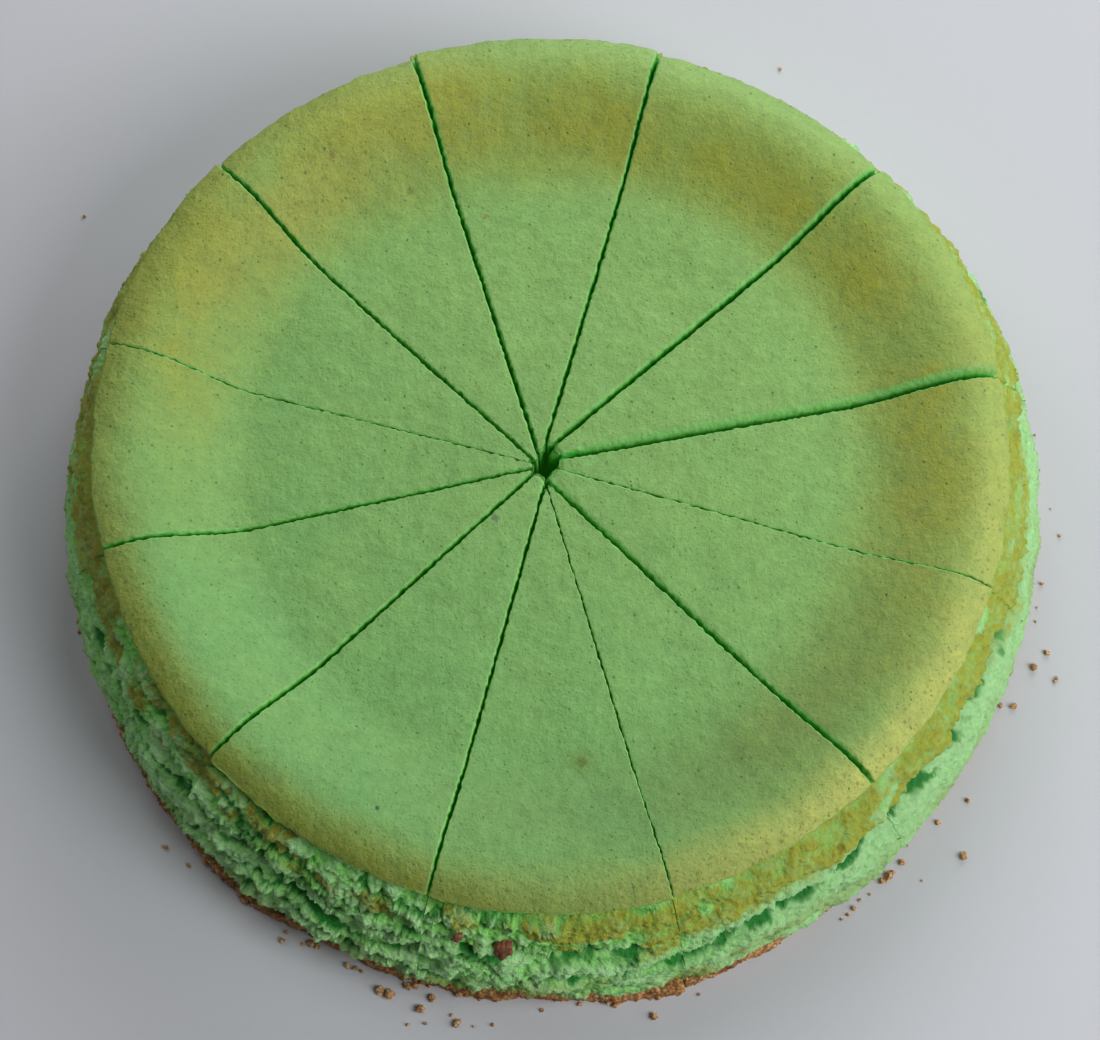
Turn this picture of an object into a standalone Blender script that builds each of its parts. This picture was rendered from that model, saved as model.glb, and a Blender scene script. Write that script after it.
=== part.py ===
"""Round green cheesecake on a thin biscuit base, cut into twelve slices that still stand together.

Every slice is two solids: its filling, and the wedge of biscuit base under it. Metres, +Z up. The
origin is on the surface that the cake stands on, under the middle of its box.
"""

import math
from typing import NamedTuple

import bmesh
import bpy
from mathutils import Vector, noise


class Cut(NamedTuple):
    """A straight knife cut that runs from near the middle out through the wall."""

    azimuth: float  # degrees, anticlockwise from +X
    miss: float  # how far its line passes the middle, to the left of someone looking out along it
    width: float  # between its two faces, at the height of the flat middle


class Crack(NamedTuple):
    """A long crack that runs round part of the torn wall, rising or falling on its way."""

    start: float  # degrees
    end: float
    start_height: float
    end_height: float
    depth: float
    reach: float  # half of how high it gapes


# Driving sizes of the whole cake
BULGE_RADIUS = 0.1247  # widest part of the wall, as a 10 inch tin leaves it
SKIN_RADIUS = 0.1139  # outer edge of the baked skin on top
MIDDLE_HEIGHT = 0.0395  # of the flat middle of the top
BISCUIT_THICKNESS = 0.005
BISCUIT_RADIUS = 0.1242
LAYER_GAP = 0.0003  # between a slice's filling and its biscuit
FOOT_HEIGHT = BISCUIT_THICKNESS + LAYER_GAP  # where the filling starts
TWO_LOBES = 0.002  # how far the outline leans out in two and in three places, as shares of its radius
THREE_LOBES = 0.008
FOOT_SHIFT = 0.0036  # how far in front of the top the foot of the wall stands
BOX_MIDDLE = Vector((0.0003, -0.0040, 0))  # of the uneven outline, from the middle of the top

# The top is flat, then climbs to a crest, then rolls down to the skin's edge
CLIMB_START = 0.076
CREST_RADIUS = 0.1058
RIM_RISE = 0.0086  # mean height of the crest above the flat middle
RIM_RISE_SWING = 0.0038  # how much more it is on the high side
RIM_HIGH_SIDE = math.radians(135)
EDGE_DROP = 0.0030  # mean, from the crest down to the skin's edge
EDGE_DROP_SWING = 0.0013
EDGE_DROP_SIDE = math.radians(-10)
ROLL_POWER = 2.2

# The wall flares from the skin's edge to a bulge above the foot, and its crumb is torn
BULGE_FALL = 0.86  # where the bulge is, as a share of the way down from the skin's edge
UNDERCUT_DEPTH = 0.0018
UNDERCUT_FALL = 0.07
UNDERCUT_REACH = 0.07
FOOT_TUCK = 0.0024
TORN_BELOW = 0.12  # the tearing starts over this share of the way down
LEDGE_DEPTH = 0.0013
LEDGE_GRAIN = (0.024, 0.0065)  # length along the wall and height of one ledge
LUMP_DEPTH = 0.0011
LUMP_GRAIN = (0.0115, 0.0080)
EDGE_RAGGED = 0.0004
EDGE_GRAIN = (0.010, 1.0)
BISCUIT_RAGGED = 0.0014
BISCUIT_GRAIN = (0.009, 0.006)

CRACKS = (
    Crack(-172, -122, 0.0300, 0.0295, 0.0042, 0.0030),
    Crack(-131, -99, 0.0285, 0.0190, 0.0038, 0.0028),
    Crack(-112, -76, 0.0320, 0.0270, 0.0026, 0.0022),
    Crack(-98, -70, 0.0200, 0.0215, 0.0022, 0.0024),
    Crack(-77, -14, 0.0235, 0.0285, 0.0036, 0.0028),
    Crack(-18, 38, 0.0270, 0.0250, 0.0026, 0.0026),
    Crack(34, 92, 0.0250, 0.0300, 0.0034, 0.0030),
    Crack(86, 130, 0.0210, 0.0260, 0.0030, 0.0026),
    Crack(124, 180, 0.0310, 0.0270, 0.0034, 0.0030),
)
CRACK_WANDER = 0.0018  # how far a crack strays up and down
CRACK_WANDER_GRAIN = (0.030, 1.0)
CRACK_END = 9.0  # degrees over which a crack closes at either end

# Each cut opens from the foot upwards
CUT_FOOT_WIDTH = 0.0005
CUTS = (
    Cut(-167.2, -0.0001, 0.0012),
    Cut(-136.3, -0.0015, 0.0011),
    Cut(-104.9, -0.0004, 0.0010),
    Cut(-73.9, -0.0028, 0.0009),
    Cut(-44.7, -0.0038, 0.0012),
    Cut(-16.4, -0.0006, 0.0008),
    Cut(10.7, 0.0016, 0.0016),
    Cut(41.2, 0.0037, 0.0015),
    Cut(74.3, 0.0030, 0.0011),
    Cut(107.1, 0.0025, 0.0012),
    Cut(136.5, 0.0024, 0.0013),
    Cut(165.0, 0.0010, 0.0008),
)

# The points of the slices are broken off round a hole where the cuts cross
HOLE_MIDDLE = Vector((-0.0020, -0.0005))
HOLE_RADIUS = 0.0036
LEAST_BROKEN = 0.0006  # of a point that doesn't reach the hole

# For the slice after each cut: how far its wall stands out, and how far back from the hole it breaks
STANDS_OUT = (0, 0.0003, 0.0006, 0, 0.0003, 0.0004, 0.0010, 0.0002, 0.0012, 0, 0.0004, 0.0002)
BROKEN_BACK = (0, 0.0002, 0, 0.0003, 0.0005, 0.0016, 0.0026, 0.0020, 0.0004, 0, 0, 0.0002)

# How finely a slice is divided
COLUMNS = 16  # across, from cut to cut
WALL_LAYERS = 15
RIM_ROWS = 7  # from the start of the climb out to the skin's edge
BISCUIT_LAYERS = 2
FLAT_WITHIN = math.radians(0.4)  # faces this close to one plane are merged
SMOOTH_WITHIN = math.radians(40)

FILLING_FINISH = ("green filling", (0.19, 0.43, 0.11, 1.0), 0.55)
BISCUIT_FINISH = ("biscuit", (0.22, 0.09, 0.03, 1.0), 0.85)


def smooth(low, high, value):
    """0 up to low, 1 from high, and a smooth step between them."""
    share = min(1.0, max(0.0, (value - low) / (high - low)))
    return share * share * (3 - 2 * share)


def hump(centre, reach, value):
    """1 at centre, falling smoothly to 0 at reach on either side."""
    return 1 - smooth(0, reach, abs(value - centre))


def grain(azimuth, height, size, seed):
    """Noise on the round wall, from -1 to 1, whose grains have this length and height."""
    reach = BULGE_RADIUS / size[0]
    place = Vector((reach * math.cos(azimuth), reach * math.sin(azimuth), height / size[1]))
    return noise.noise(place + Vector((seed, -seed, seed)))


def uneven(radius, azimuth, lean):
    """A nominal radius as the uneven outline has it, where lean is 0 at the top and 1 at the foot."""
    lobes = TWO_LOBES * math.cos(2 * azimuth) + THREE_LOBES * math.sin(3 * azimuth)
    return radius * (1 + lobes) - FOOT_SHIFT * lean * math.sin(azimuth)


def top_height(radius, azimuth):
    """Height of the top at a nominal radius."""
    rise = RIM_RISE + RIM_RISE_SWING * math.cos(azimuth - RIM_HIGH_SIDE)
    drop = EDGE_DROP + EDGE_DROP_SWING * math.cos(azimuth - EDGE_DROP_SIDE)
    climb = smooth(CLIMB_START, CREST_RADIUS, radius)
    roll = max(0.0, (radius - CREST_RADIUS) / (SKIN_RADIUS - CREST_RADIUS))
    return MIDDLE_HEIGHT + rise * climb - drop * roll**ROLL_POWER


def crack_depth(azimuth, height):
    """How deep the long cracks cut into the wall at this place."""
    wander = CRACK_WANDER * grain(azimuth, 0, CRACK_WANDER_GRAIN, 7.7)
    deepest = 0.0
    for crack in CRACKS:
        along = (math.degrees(azimuth) - crack.start) % 360
        length = crack.end - crack.start
        if along < length:
            middle = crack.start_height + (crack.end_height - crack.start_height) * along / length
            open_share = smooth(0, CRACK_END, along) * smooth(0, CRACK_END, length - along)
            gape = hump(middle + wander, crack.reach, height)
            deepest = max(deepest, crack.depth * open_share * gape)
    return deepest


def wall_radius(azimuth, share):
    """Radius of the filling's wall, where share runs from 0 at the foot to 1 at the skin's edge."""
    fall = 1 - share
    height = FOOT_HEIGHT + share * (top_height(SKIN_RADIUS, azimuth) - FOOT_HEIGHT)
    flare = math.sin(min(1.0, fall / BULGE_FALL) * math.pi / 2)
    nominal = SKIN_RADIUS + (BULGE_RADIUS - SKIN_RADIUS) * flare
    nominal -= UNDERCUT_DEPTH * hump(UNDERCUT_FALL, UNDERCUT_REACH, fall)
    nominal -= FOOT_TUCK * smooth(BULGE_FALL, 1, fall)
    relief = LEDGE_DEPTH * grain(azimuth, height, LEDGE_GRAIN, 0.4)
    relief += LUMP_DEPTH * grain(azimuth, height, LUMP_GRAIN, 5.2)
    relief -= crack_depth(azimuth, height)
    ragged = EDGE_RAGGED * grain(azimuth, 0, EDGE_GRAIN, 3.1)
    torn = smooth(0, TORN_BELOW, fall)
    return uneven(nominal, azimuth, flare) + torn * relief + (1 - torn) * ragged


def biscuit_radius(azimuth, share):
    """Radius of the biscuit base, where share runs from 0 at the bottom to 1 at its top."""
    ragged = BISCUIT_RAGGED * grain(azimuth, share * BISCUIT_THICKNESS, BISCUIT_GRAIN, 9.3)
    return uneven(BISCUIT_RADIUS, azimuth, 1) + ragged


class Wedge:
    """The plan of one slice between two cuts, whose faces lean apart as they go down."""

    def __init__(self, first, second, stands_out, broken_back):
        self.first = first
        self.second = second
        self.stands_out = stands_out
        self.broken_back = broken_back
        self.start = math.radians(first.azimuth)
        self.turn = math.radians((second.azimuth - first.azimuth) % 360)

    def ray(self, across):
        """The way out along the slice, where across runs from 0 at its first cut to 1 at its second."""
        azimuth = self.start + across * self.turn
        return Vector((math.cos(azimuth), math.sin(azimuth)))

    def point(self, height):
        """Where the planes of the two cut faces meet at this height."""
        opened = height / MIDDLE_HEIGHT
        first_gap = CUT_FOOT_WIDTH + (self.first.width - CUT_FOOT_WIDTH) * opened
        second_gap = CUT_FOOT_WIDTH + (self.second.width - CUT_FOOT_WIDTH) * opened
        first_offset = self.first.miss + first_gap / 2
        second_offset = self.second.miss - second_gap / 2
        along = (first_offset * math.cos(self.turn) - second_offset) / math.sin(self.turn)
        out = self.ray(0)
        return out * along + Vector((-out.y, out.x)) * first_offset

    def on_circle(self, across, radius, height):
        """Place on the ray at this radius from the middle of the cake."""
        point = self.point(height)
        ray = self.ray(across)
        lean = point.dot(ray)
        reach = math.sqrt(lean * lean - point.length_squared + radius * radius) - lean
        return point + reach * ray

    def on_broken_face(self, across, height):
        """Place on the upright face that the missing point has left, square to the slice's middle."""
        point = self.point(height)
        ray = self.ray(across)
        middle = self.ray(0.5)
        missing = HOLE_RADIUS + self.broken_back - (point - HOLE_MIDDLE).dot(middle)
        return point + ray * max(LEAST_BROKEN, missing) / ray.dot(middle)

    def azimuth(self, across):
        """Azimuth of the place on the ray at the skin's edge, round the middle of the cake."""
        place = self.on_circle(across, SKIN_RADIUS, MIDDLE_HEIGHT)
        return math.atan2(place.y, place.x)

    def place(self, across, out, edge, height):
        """Place on the ray, where out runs from 0 at the broken face to 1 at the edge's radius."""
        if out == 0:
            plan = self.on_broken_face(across, height)
        else:
            plan = self.on_circle(across, out * edge, height)
        return Vector((*plan, height)) - BOX_MIDDLE

    def in_filling(self, across, out, share):
        """Where a place of the unit block goes in the slice's filling."""
        azimuth = self.azimuth(across)
        edge = wall_radius(azimuth, share) + self.stands_out
        top = top_height(SKIN_RADIUS * out, azimuth)
        return self.place(across, out, edge, FOOT_HEIGHT + share * (top - FOOT_HEIGHT))

    def in_biscuit(self, across, out, share):
        """Where a place of the unit block goes in the slice's biscuit."""
        edge = biscuit_radius(self.azimuth(across), share) + self.stands_out
        return self.place(across, out, edge, share * BISCUIT_THICKNESS)


def even_steps(count):
    """Shares from 0 to 1 in this many even steps."""
    return [step / count for step in range(count + 1)]


def divided_block(across_shares, out_shares, up_shares):
    """A unit block with a loop cut at each of the shares across, out and up."""
    block = bmesh.new()
    bmesh.ops.create_cube(block, size=1)
    bmesh.ops.translate(block, verts=block.verts, vec=(0.5, 0.5, 0.5))
    axes = (across_shares, out_shares, up_shares)
    for axis, shares in enumerate(axes):
        along = [edge for edge in block.edges if edge.verts[0].co[axis] != edge.verts[1].co[axis]]
        if len(shares) > 2:
            bmesh.ops.subdivide_edges(block, edges=along, cuts=len(shares) - 2, use_grid_fill=True)
    for vertex in block.verts:
        for axis, shares in enumerate(axes):
            vertex.co[axis] = shares[round(vertex.co[axis] * (len(shares) - 1))]
    return block


def finish_material(name, colour, roughness):
    """The material of this name, which is made the first time."""
    material = bpy.data.materials.get(name)
    if material is None:
        material = bpy.data.materials.new(name)
        material.use_nodes = True
        shader = material.node_tree.nodes["Principled BSDF"]
        shader.inputs["Base Color"].default_value = colour
        shader.inputs["Roughness"].default_value = roughness
    return material


def shaped_object(name, block, shape, finish, collection):
    """Moves every vertex of the block to where shape puts it, and makes an object of it."""
    for vertex in block.verts:
        vertex.co = shape(*vertex.co)
    # Across runs anticlockwise, which turns the block inside out
    bmesh.ops.reverse_faces(block, faces=block.faces)
    bmesh.ops.dissolve_limit(block, angle_limit=FLAT_WITHIN, verts=block.verts, edges=block.edges)
    mesh = bpy.data.meshes.new(name)
    block.to_mesh(mesh)
    block.free()
    mesh.materials.append(finish_material(*finish))
    mesh.shade_smooth()
    mesh.set_sharp_from_angle(angle=SMOOTH_WITHIN)
    collection.objects.link(bpy.data.objects.new(name, mesh))


def make_filling(wedge, name, collection):
    """The filling of one slice: flat in the middle, a raised rim and a torn wall."""
    climb = CLIMB_START / SKIN_RADIUS
    out_shares = [0.0] + [climb + (1 - climb) * step for step in even_steps(RIM_ROWS)]
    block = divided_block(even_steps(COLUMNS), out_shares, even_steps(WALL_LAYERS))
    shaped_object(name, block, wedge.in_filling, FILLING_FINISH, collection)


def make_biscuit(wedge, name, collection):
    """The wedge of biscuit base under one slice, with a crumbled outer edge."""
    block = divided_block(even_steps(COLUMNS), even_steps(1), even_steps(BISCUIT_LAYERS))
    shaped_object(name, block, wedge.in_biscuit, BISCUIT_FINISH, collection)


def main():
    """Builds the twelve slices."""
    for leftover in list(bpy.data.objects):
        bpy.data.objects.remove(leftover)
    cake = bpy.data.collections.new("cheesecake")
    bpy.context.scene.collection.children.link(cake)
    following = CUTS[1:] + CUTS[:1]
    for number, plan in enumerate(zip(CUTS, following, STANDS_OUT, BROKEN_BACK), start=1):
        wedge = Wedge(*plan)
        make_filling(wedge, f"filling_{number:02d}", cake)
        make_biscuit(wedge, f"biscuit_{number:02d}", cake)


main()
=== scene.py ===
"""Looks of a round green cheesecake, cut into twelve slices that still stand together.

Metres, +Z up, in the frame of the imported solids. Every slice's filling and biscuit wedge is replaced
by a finer piece of the same form, worked out from the same few sizes.
"""

import logging
import math
from dataclasses import dataclass, field
from enum import Enum
from typing import Any, Mapping, NamedTuple, Optional, Sequence, Union

import bmesh
import bpy
import numpy as np
from mathutils import Matrix, Vector, noise

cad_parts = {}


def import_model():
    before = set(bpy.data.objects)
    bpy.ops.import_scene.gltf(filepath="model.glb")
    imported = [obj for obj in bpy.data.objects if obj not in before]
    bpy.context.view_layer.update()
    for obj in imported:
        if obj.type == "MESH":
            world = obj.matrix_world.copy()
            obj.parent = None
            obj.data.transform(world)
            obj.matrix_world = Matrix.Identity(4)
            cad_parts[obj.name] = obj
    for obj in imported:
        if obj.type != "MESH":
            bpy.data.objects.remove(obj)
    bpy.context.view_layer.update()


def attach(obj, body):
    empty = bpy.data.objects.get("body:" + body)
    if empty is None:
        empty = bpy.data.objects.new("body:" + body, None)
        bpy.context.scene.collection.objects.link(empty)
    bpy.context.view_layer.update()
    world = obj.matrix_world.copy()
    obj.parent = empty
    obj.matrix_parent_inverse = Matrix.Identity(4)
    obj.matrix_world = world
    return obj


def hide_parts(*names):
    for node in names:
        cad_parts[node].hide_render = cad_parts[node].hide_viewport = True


LOG = logging.getLogger("cheesecake")
MM = 0.001
BODY = "root"

Array = np.ndarray
Colour = tuple[float, float, float, float]


def srgb(red: int, green: int, blue: int) -> Colour:
    """A linear colour from one as a screen shows it, 0 to 255."""
    shares = [value / 255 for value in (red, green, blue)]
    linear = [share / 12.92 if share < 0.04045 else ((share + 0.055) / 1.055) ** 2.4 for share in shares]
    return (linear[0], linear[1], linear[2], 1.0)


def smooth(low: float, high: float, value: Any) -> Any:
    """0 up to low, 1 from high, and a smooth step between them; high may be below low."""
    share = np.clip((value - low) / (high - low), 0, 1)
    return share * share * (3 - 2 * share)


def hump(centre: float, reach: float, value: Any) -> Any:
    """1 at centre, falling smoothly to 0 at reach on either side."""
    return 1 - smooth(0, reach, np.abs(value - centre))


def rising(start_and_rise: tuple[float, float], share: Any) -> Any:
    """A start, and what a rise adds to it as share goes from 0 to 1."""
    return start_and_rise[0] + start_and_rise[1] * share


class Side(NamedTuple):
    """A stretch of the cake's outline: its middle and reach in degrees, and its strength there."""

    middle: float
    reach: float
    strength: float = 1.0

    def at(self, azimuth: Any) -> Any:
        """The strength at an azimuth in radians, falling to 0 at the ends of the stretch."""
        turned = (np.degrees(azimuth) - self.middle + 180) % 360 - 180
        return self.strength * hump(0, self.reach, turned)


class Grain(Enum):
    """The kinds of noise that relief and colour patches are made of."""

    SOFT = "PERLIN_ORIGINAL"
    LUMPS = "VORONOI_F1"


class Pattern(NamedTuple):
    """Noise on the round wall: the length and height of a grain in metres, and how it is made."""

    length: float
    height: float
    seed: float
    grain: Grain = Grain.SOFT
    octaves: int = 1


def noise_at(points: Array, seed: float, grain: Grain = Grain.SOFT, octaves: int = 1) -> Array:
    """Noise at each place.

    Args:
        points: places, already divided by the size of a grain.
        seed: moves the pattern.
        grain: soft hills, or lumps with creases between them, which are low at a lump's middle.
        octaves: how many finer layers are summed, each half as strong and half as large.

    Returns:
        One value for each place, about -1 to 1.
    """
    moved = np.reshape(points, (-1, 3)) + np.array([seed, -seed, seed])
    if octaves == 1 and grain is Grain.SOFT:
        values = [noise.noise(place) for place in moved.tolist()]
    else:
        basis = grain.value
        values = [noise.fractal(place, 1.0, 2.0, octaves, noise_basis=basis) for place in moved.tolist()]
    return np.reshape(values, np.shape(points)[:-1])


class Cut(NamedTuple):
    """A straight knife cut that runs from near the middle out through the wall."""

    azimuth: float
    miss: float
    width: float


class Crack(NamedTuple):
    """A long crack that runs round part of the torn wall, and may climb or fall on its way."""

    start: float
    end: float
    start_height: float
    end_height: float
    depth: float
    reach: float


class Lips(NamedTuple):
    """The two lips of a cut: their radii, and the shares of its width closed on top and on the wall."""

    before: float
    after: float
    shut: float
    wall_shut: float = 1.0


@dataclass(frozen=True)
class CakeForm:
    """Form of the whole cake: its outline, its top, its torn wall and its cuts.

    Azimuths of cuts and cracks are in degrees, everything else is in metres.
    """

    bulge_radius: float = 0.1247
    skin_radius: float = 0.1139
    middle_height: float = 0.0395
    biscuit_thickness: float = 0.005
    biscuit_radius: float = 0.1242
    layer_gap: float = 0.0003
    two_lobes: float = 0.002
    three_lobes: float = 0.008
    foot_shift: float = 0.0036
    box_middle: tuple[float, float] = (0.0003, -0.0040)

    climb_start: float = 0.076
    crest_radius: float = 0.1058
    rim_rise: float = 0.0086
    rim_rise_swing: float = 0.0038
    rim_high_side: float = math.radians(135)
    edge_drop: float = 0.0030
    edge_drop_swing: float = 0.0013
    edge_drop_side: float = math.radians(-10)
    roll_power: float = 2.2

    bulge_fall: float = 0.86
    undercut_depth: float = 0.0018
    undercut_fall: float = 0.07
    undercut_reach: float = 0.07
    foot_tuck: float = 0.0024
    torn_below: float = 0.12
    ledge_depth: float = 0.0013
    ledge_grain: Pattern = Pattern(0.024, 0.0065, 0.4)
    lump_depth: float = 0.0011
    lump_grain: Pattern = Pattern(0.0115, 0.0080, 5.2)
    edge_ragged: float = 0.0004
    edge_grain: Pattern = Pattern(0.010, 1.0, 3.1, Grain.SOFT, 4)
    biscuit_ragged: float = 0.0014
    biscuit_grain: Pattern = Pattern(0.009, 0.006, 9.3)

    crack_wander: float = 0.0018
    crack_wander_grain: Pattern = Pattern(0.030, 1.0, 7.7)
    crack_end: float = 9.0
    cracks: tuple[Crack, ...] = (
        Crack(-172, -122, 0.0300, 0.0295, 0.0042, 0.0030),
        Crack(-131, -99, 0.0285, 0.0190, 0.0038, 0.0028),
        Crack(-112, -76, 0.0320, 0.0270, 0.0026, 0.0022),
        Crack(-98, -70, 0.0200, 0.0215, 0.0022, 0.0024),
        Crack(-77, -14, 0.0235, 0.0285, 0.0036, 0.0028),
        Crack(-18, 38, 0.0270, 0.0250, 0.0026, 0.0026),
        Crack(34, 92, 0.0250, 0.0300, 0.0034, 0.0030),
        Crack(86, 130, 0.0210, 0.0260, 0.0030, 0.0026),
        Crack(124, 180, 0.0310, 0.0270, 0.0034, 0.0030),
    )

    cut_foot_width: float = 0.0005
    cuts: tuple[Cut, ...] = (
        Cut(-167.2, -0.0001, 0.0012),
        Cut(-136.3, -0.0015, 0.0011),
        Cut(-104.9, -0.0004, 0.0010),
        Cut(-73.9, -0.0028, 0.0009),
        Cut(-44.7, -0.0038, 0.0012),
        Cut(-16.4, -0.0006, 0.0008),
        Cut(10.7, 0.0016, 0.0016),
        Cut(41.2, 0.0037, 0.0015),
        Cut(74.3, 0.0030, 0.0011),
        Cut(107.1, 0.0025, 0.0012),
        Cut(136.5, 0.0024, 0.0013),
        Cut(165.0, 0.0010, 0.0008),
    )
    hole_middle: tuple[float, float] = (-0.0020, -0.0005)
    hole_radius: float = 0.0036
    least_broken: float = 0.0006
    stands_out: tuple[float, ...] = (
        0, 0.0003, 0.0006, 0, 0.0003, 0.0004, 0.0010, 0.0002, 0.0012, 0, 0.0004, 0.0002,
    )
    broken_back: tuple[float, ...] = (
        0, 0.0002, 0, 0.0003, 0.0005, 0.0016, 0.0026, 0.0020, 0.0004, 0, 0, 0.0002,
    )

    # Each cut's lips: the rounding of the slice before it and after it, and how far they close up
    lips: tuple[Lips, ...] = (
        Lips(0.0008, 0.0003, 0.35),
        Lips(0.0007, 0.0003, 0.15),
        Lips(0.0005, 0.0004, 0.30, 0.93),
        Lips(0.0003, 0.0004, 0.72, 0.72),
        Lips(0.0003, 0.0009, 0.20),
        Lips(0.0003, 0.0004, 0.80),
        Lips(0.0003, 0.0022, 0.00),
        Lips(0.0004, 0.0010, 0.15),
        Lips(0.0005, 0.0005, 0.20),
        Lips(0.0006, 0.0005, 0.25),
        Lips(0.0005, 0.0004, 0.45),
        Lips(0.0005, 0.0003, 0.80),
    )
    wall_lip: float = 0.00004
    # How far the slices' broken tips reach towards the middle as they go down
    tip_nearer: float = 0.0010
    tips_lean: tuple[float, ...] = (
        0.0006, 0.0012, 0.0018, 0.0022, 0.0014, 0.0010, 0.0026, 0.0034, 0.0042, 0.0042, 0.0036, 0.0026,
    )

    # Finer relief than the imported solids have
    crumb_depth: float = 0.0016
    crumb_grain: Pattern = Pattern(0.0070, 0.0046, 2.6, Grain.LUMPS, 3)
    sponge_depth: float = 0.0009
    sponge_grain: Pattern = Pattern(0.0018, 0.0013, 8.8, Grain.LUMPS, 2)
    sponge_on_tear: tuple[float, float] = (0.3, 0.7)
    layer_depth: float = 0.0024
    layer_height: float = 0.0068
    layer_wander: float = 0.0070
    layer_grain: Pattern = Pattern(0.024, 0.0110, 14.2, Grain.SOFT, 2)
    layer_torn: float = 0.0005
    crack_torn_by_crumb: float = 0.0009
    crack_torn_by_sponge: float = 0.0004
    fissure_depth: float = 0.0032
    fissure_reach: float = 0.0009
    fissure_wander: float = 0.0020
    fissure_grain: Pattern = Pattern(0.010, 1.0, 1.9)
    fissure_on_tear: tuple[float, float] = (0.8, 0.6)
    pock_grain: Pattern = Pattern(0.0080, 0.0042, 21.0, Grain.SOFT, 2)
    pock_from: float = -0.25
    pock_to: float = 0.15
    pock_widens: tuple[float, float] = (0.7, 1.3)
    pock_deepens: tuple[float, float] = (0.55, 0.6)
    # How much painted shade the fissures get, and where it lies across them
    pock_darkens: tuple[float, float] = (0.20, 0.65)
    shade_centre: float = -0.4
    shade_reach: float = 1.5
    eave_depth: float = 0.0012
    eave_grain: Pattern = Pattern(0.010, 1.0, 6.3)
    eave_unevenness: tuple[float, float] = (0.6, 0.8)
    fine_ragged: float = 0.0004
    fine_ragged_grain: Pattern = Pattern(0.0026, 1.0, 5.7, Grain.SOFT, 3)
    least_torn: float = 0.44
    torn_front_left: Side = Side(-118, 62, 0.60)
    whole_right: Side = Side(-25, 60, 0.06)
    biscuit_swell: tuple[tuple[float, float], ...] = (
        (-180, 0.0), (-140, 0.0), (-128, 0.0008), (-115, -0.0008), (-90, -0.0006), (-82, 0.0010),
        (-70, 0.0012), (-64, -0.0008), (-40, -0.0018), (40, -0.0014), (90, 0.0),
    )

    # Toasting of the top: its ring, which is narrow at one side, and the golden patch at another, part
    # toast and part painted sheen
    toast_ring: float = 0.094
    toast_ring_reach: float = 0.028
    toast_narrow: Side = Side(68, 60)
    toast_narrow_shift: float = 0.002
    toast_narrowing: float = 0.007
    toast_wide: Side = Side(140, 50)
    toast_wide_shift: float = 0.005
    painted_sheen: Side = Side(137, 38)
    sheen_ring: float = 0.0955
    sheen_reach: float = 0.0155
    sheen_gold: float = 0.58
    band_start: float = 0.0995
    # Painted shade on the inner slope of the rim; shade_round gives its strength round the cake
    band_full: float = 0.1125
    shade_ring: float = 0.090
    shade_ring_reach: float = 0.024
    # Toasting of the wall, and the yellowed patches at its foot
    closed_side: Side = Side(160, 40, 0.8)
    toast_patches: Pattern = Pattern(0.013, 0.006, 12.0, Grain.SOFT, 3)
    toast_patch_height: float = 0.003
    foot_patches: Pattern = Pattern(0.016, 0.006, 15.0, Grain.SOFT, 2)
    foot_yellow_full: float = 0.0120
    foot_yellow_end: float = 0.0220
    pale_full: float = 0.028
    pale_half: float = 0.034

    # Colour and painted shade round the cake: degrees, and how strong or at what height
    toast_round: tuple[tuple[float, float], ...] = (
        (-180, 0.25), (-150, 0.0), (-75, 0.1), (-45, 0.4), (-20, 0.75), (0, 0.8), (26, 0.82),
        (60, 0.95), (90, 1.0), (120, 1.05), (150, 1.1), (166, 0.7),
    )
    band_round: tuple[tuple[float, float], ...] = (
        (-180, 0.55), (-160, 0.9), (-110, 0.9), (-98, 0.8), (-88, 0.6), (-72, 0.85), (-40, 1.0), (-10, 0.8),
        (20, 0.45), (38, 0.12), (95, 0.08), (125, 0.55), (160, 0.9),
    )
    gold_round: tuple[tuple[float, float], ...] = (
        (-180, 0.35), (-150, 0.05), (-115, 0.0), (-92, 0.3), (-70, 0.65), (-50, 1.0), (-20, 0.85),
        (15, 0.7), (90, 0.5), (130, 0.3), (170, 0.15),
    )
    shade_round: tuple[tuple[float, float], ...] = (
        (-180, 0.0), (-130, 0.1), (-95, 0.6), (-75, 1.0), (-45, 1.2), (-15, 0.7), (10, 0.3), (60, 0.0),
    )
    toast_floor: tuple[tuple[float, float], ...] = (
        (-170, 0.0345), (-140, 0.0335), (-115, 0.0345), (-95, 0.0325), (-80, 0.0275), (-62, 0.0280),
        (-45, 0.0285), (-10, 0.0250), (20, 0.0235), (60, 0.0290), (120, 0.0300), (138, 0.0150),
        (165, 0.0120), (178, 0.0200),
    )
    toast_cover: tuple[tuple[float, float], ...] = (
        (-175, 0.8), (-155, 0.55), (-140, 0.5), (-115, 0.3), (-95, 0.4), (-78, 0.7), (-60, 0.85),
        (-30, 1.0), (20, 1.0), (60, 0.8), (120, 0.8), (150, 1.0),
    )
    green_edge: tuple[tuple[float, float], ...] = (
        (-180, 0.0012), (-150, 0.0036), (-25, 0.0036), (5, 0.0012),
    )
    foot_yellow: tuple[tuple[float, float], ...] = (
        (-180, 0.3), (-115, 0.3), (-98, 0.9), (-70, 1.0), (-50, 0.35), (0, 0.45), (60, 0.5), (150, 0.5),
    )
    pale_round: tuple[tuple[float, float], ...] = (
        (-180, 0.4), (-150, 0.5), (-115, 0.5), (-85, 0.5), (-62, 0.9), (-30, 1.0), (0, 1.2), (40, 1.2),
        (120, 0.8),
    )

    @property
    def foot_height(self) -> float:
        """Height at which the filling starts."""
        return self.biscuit_thickness + self.layer_gap

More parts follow.
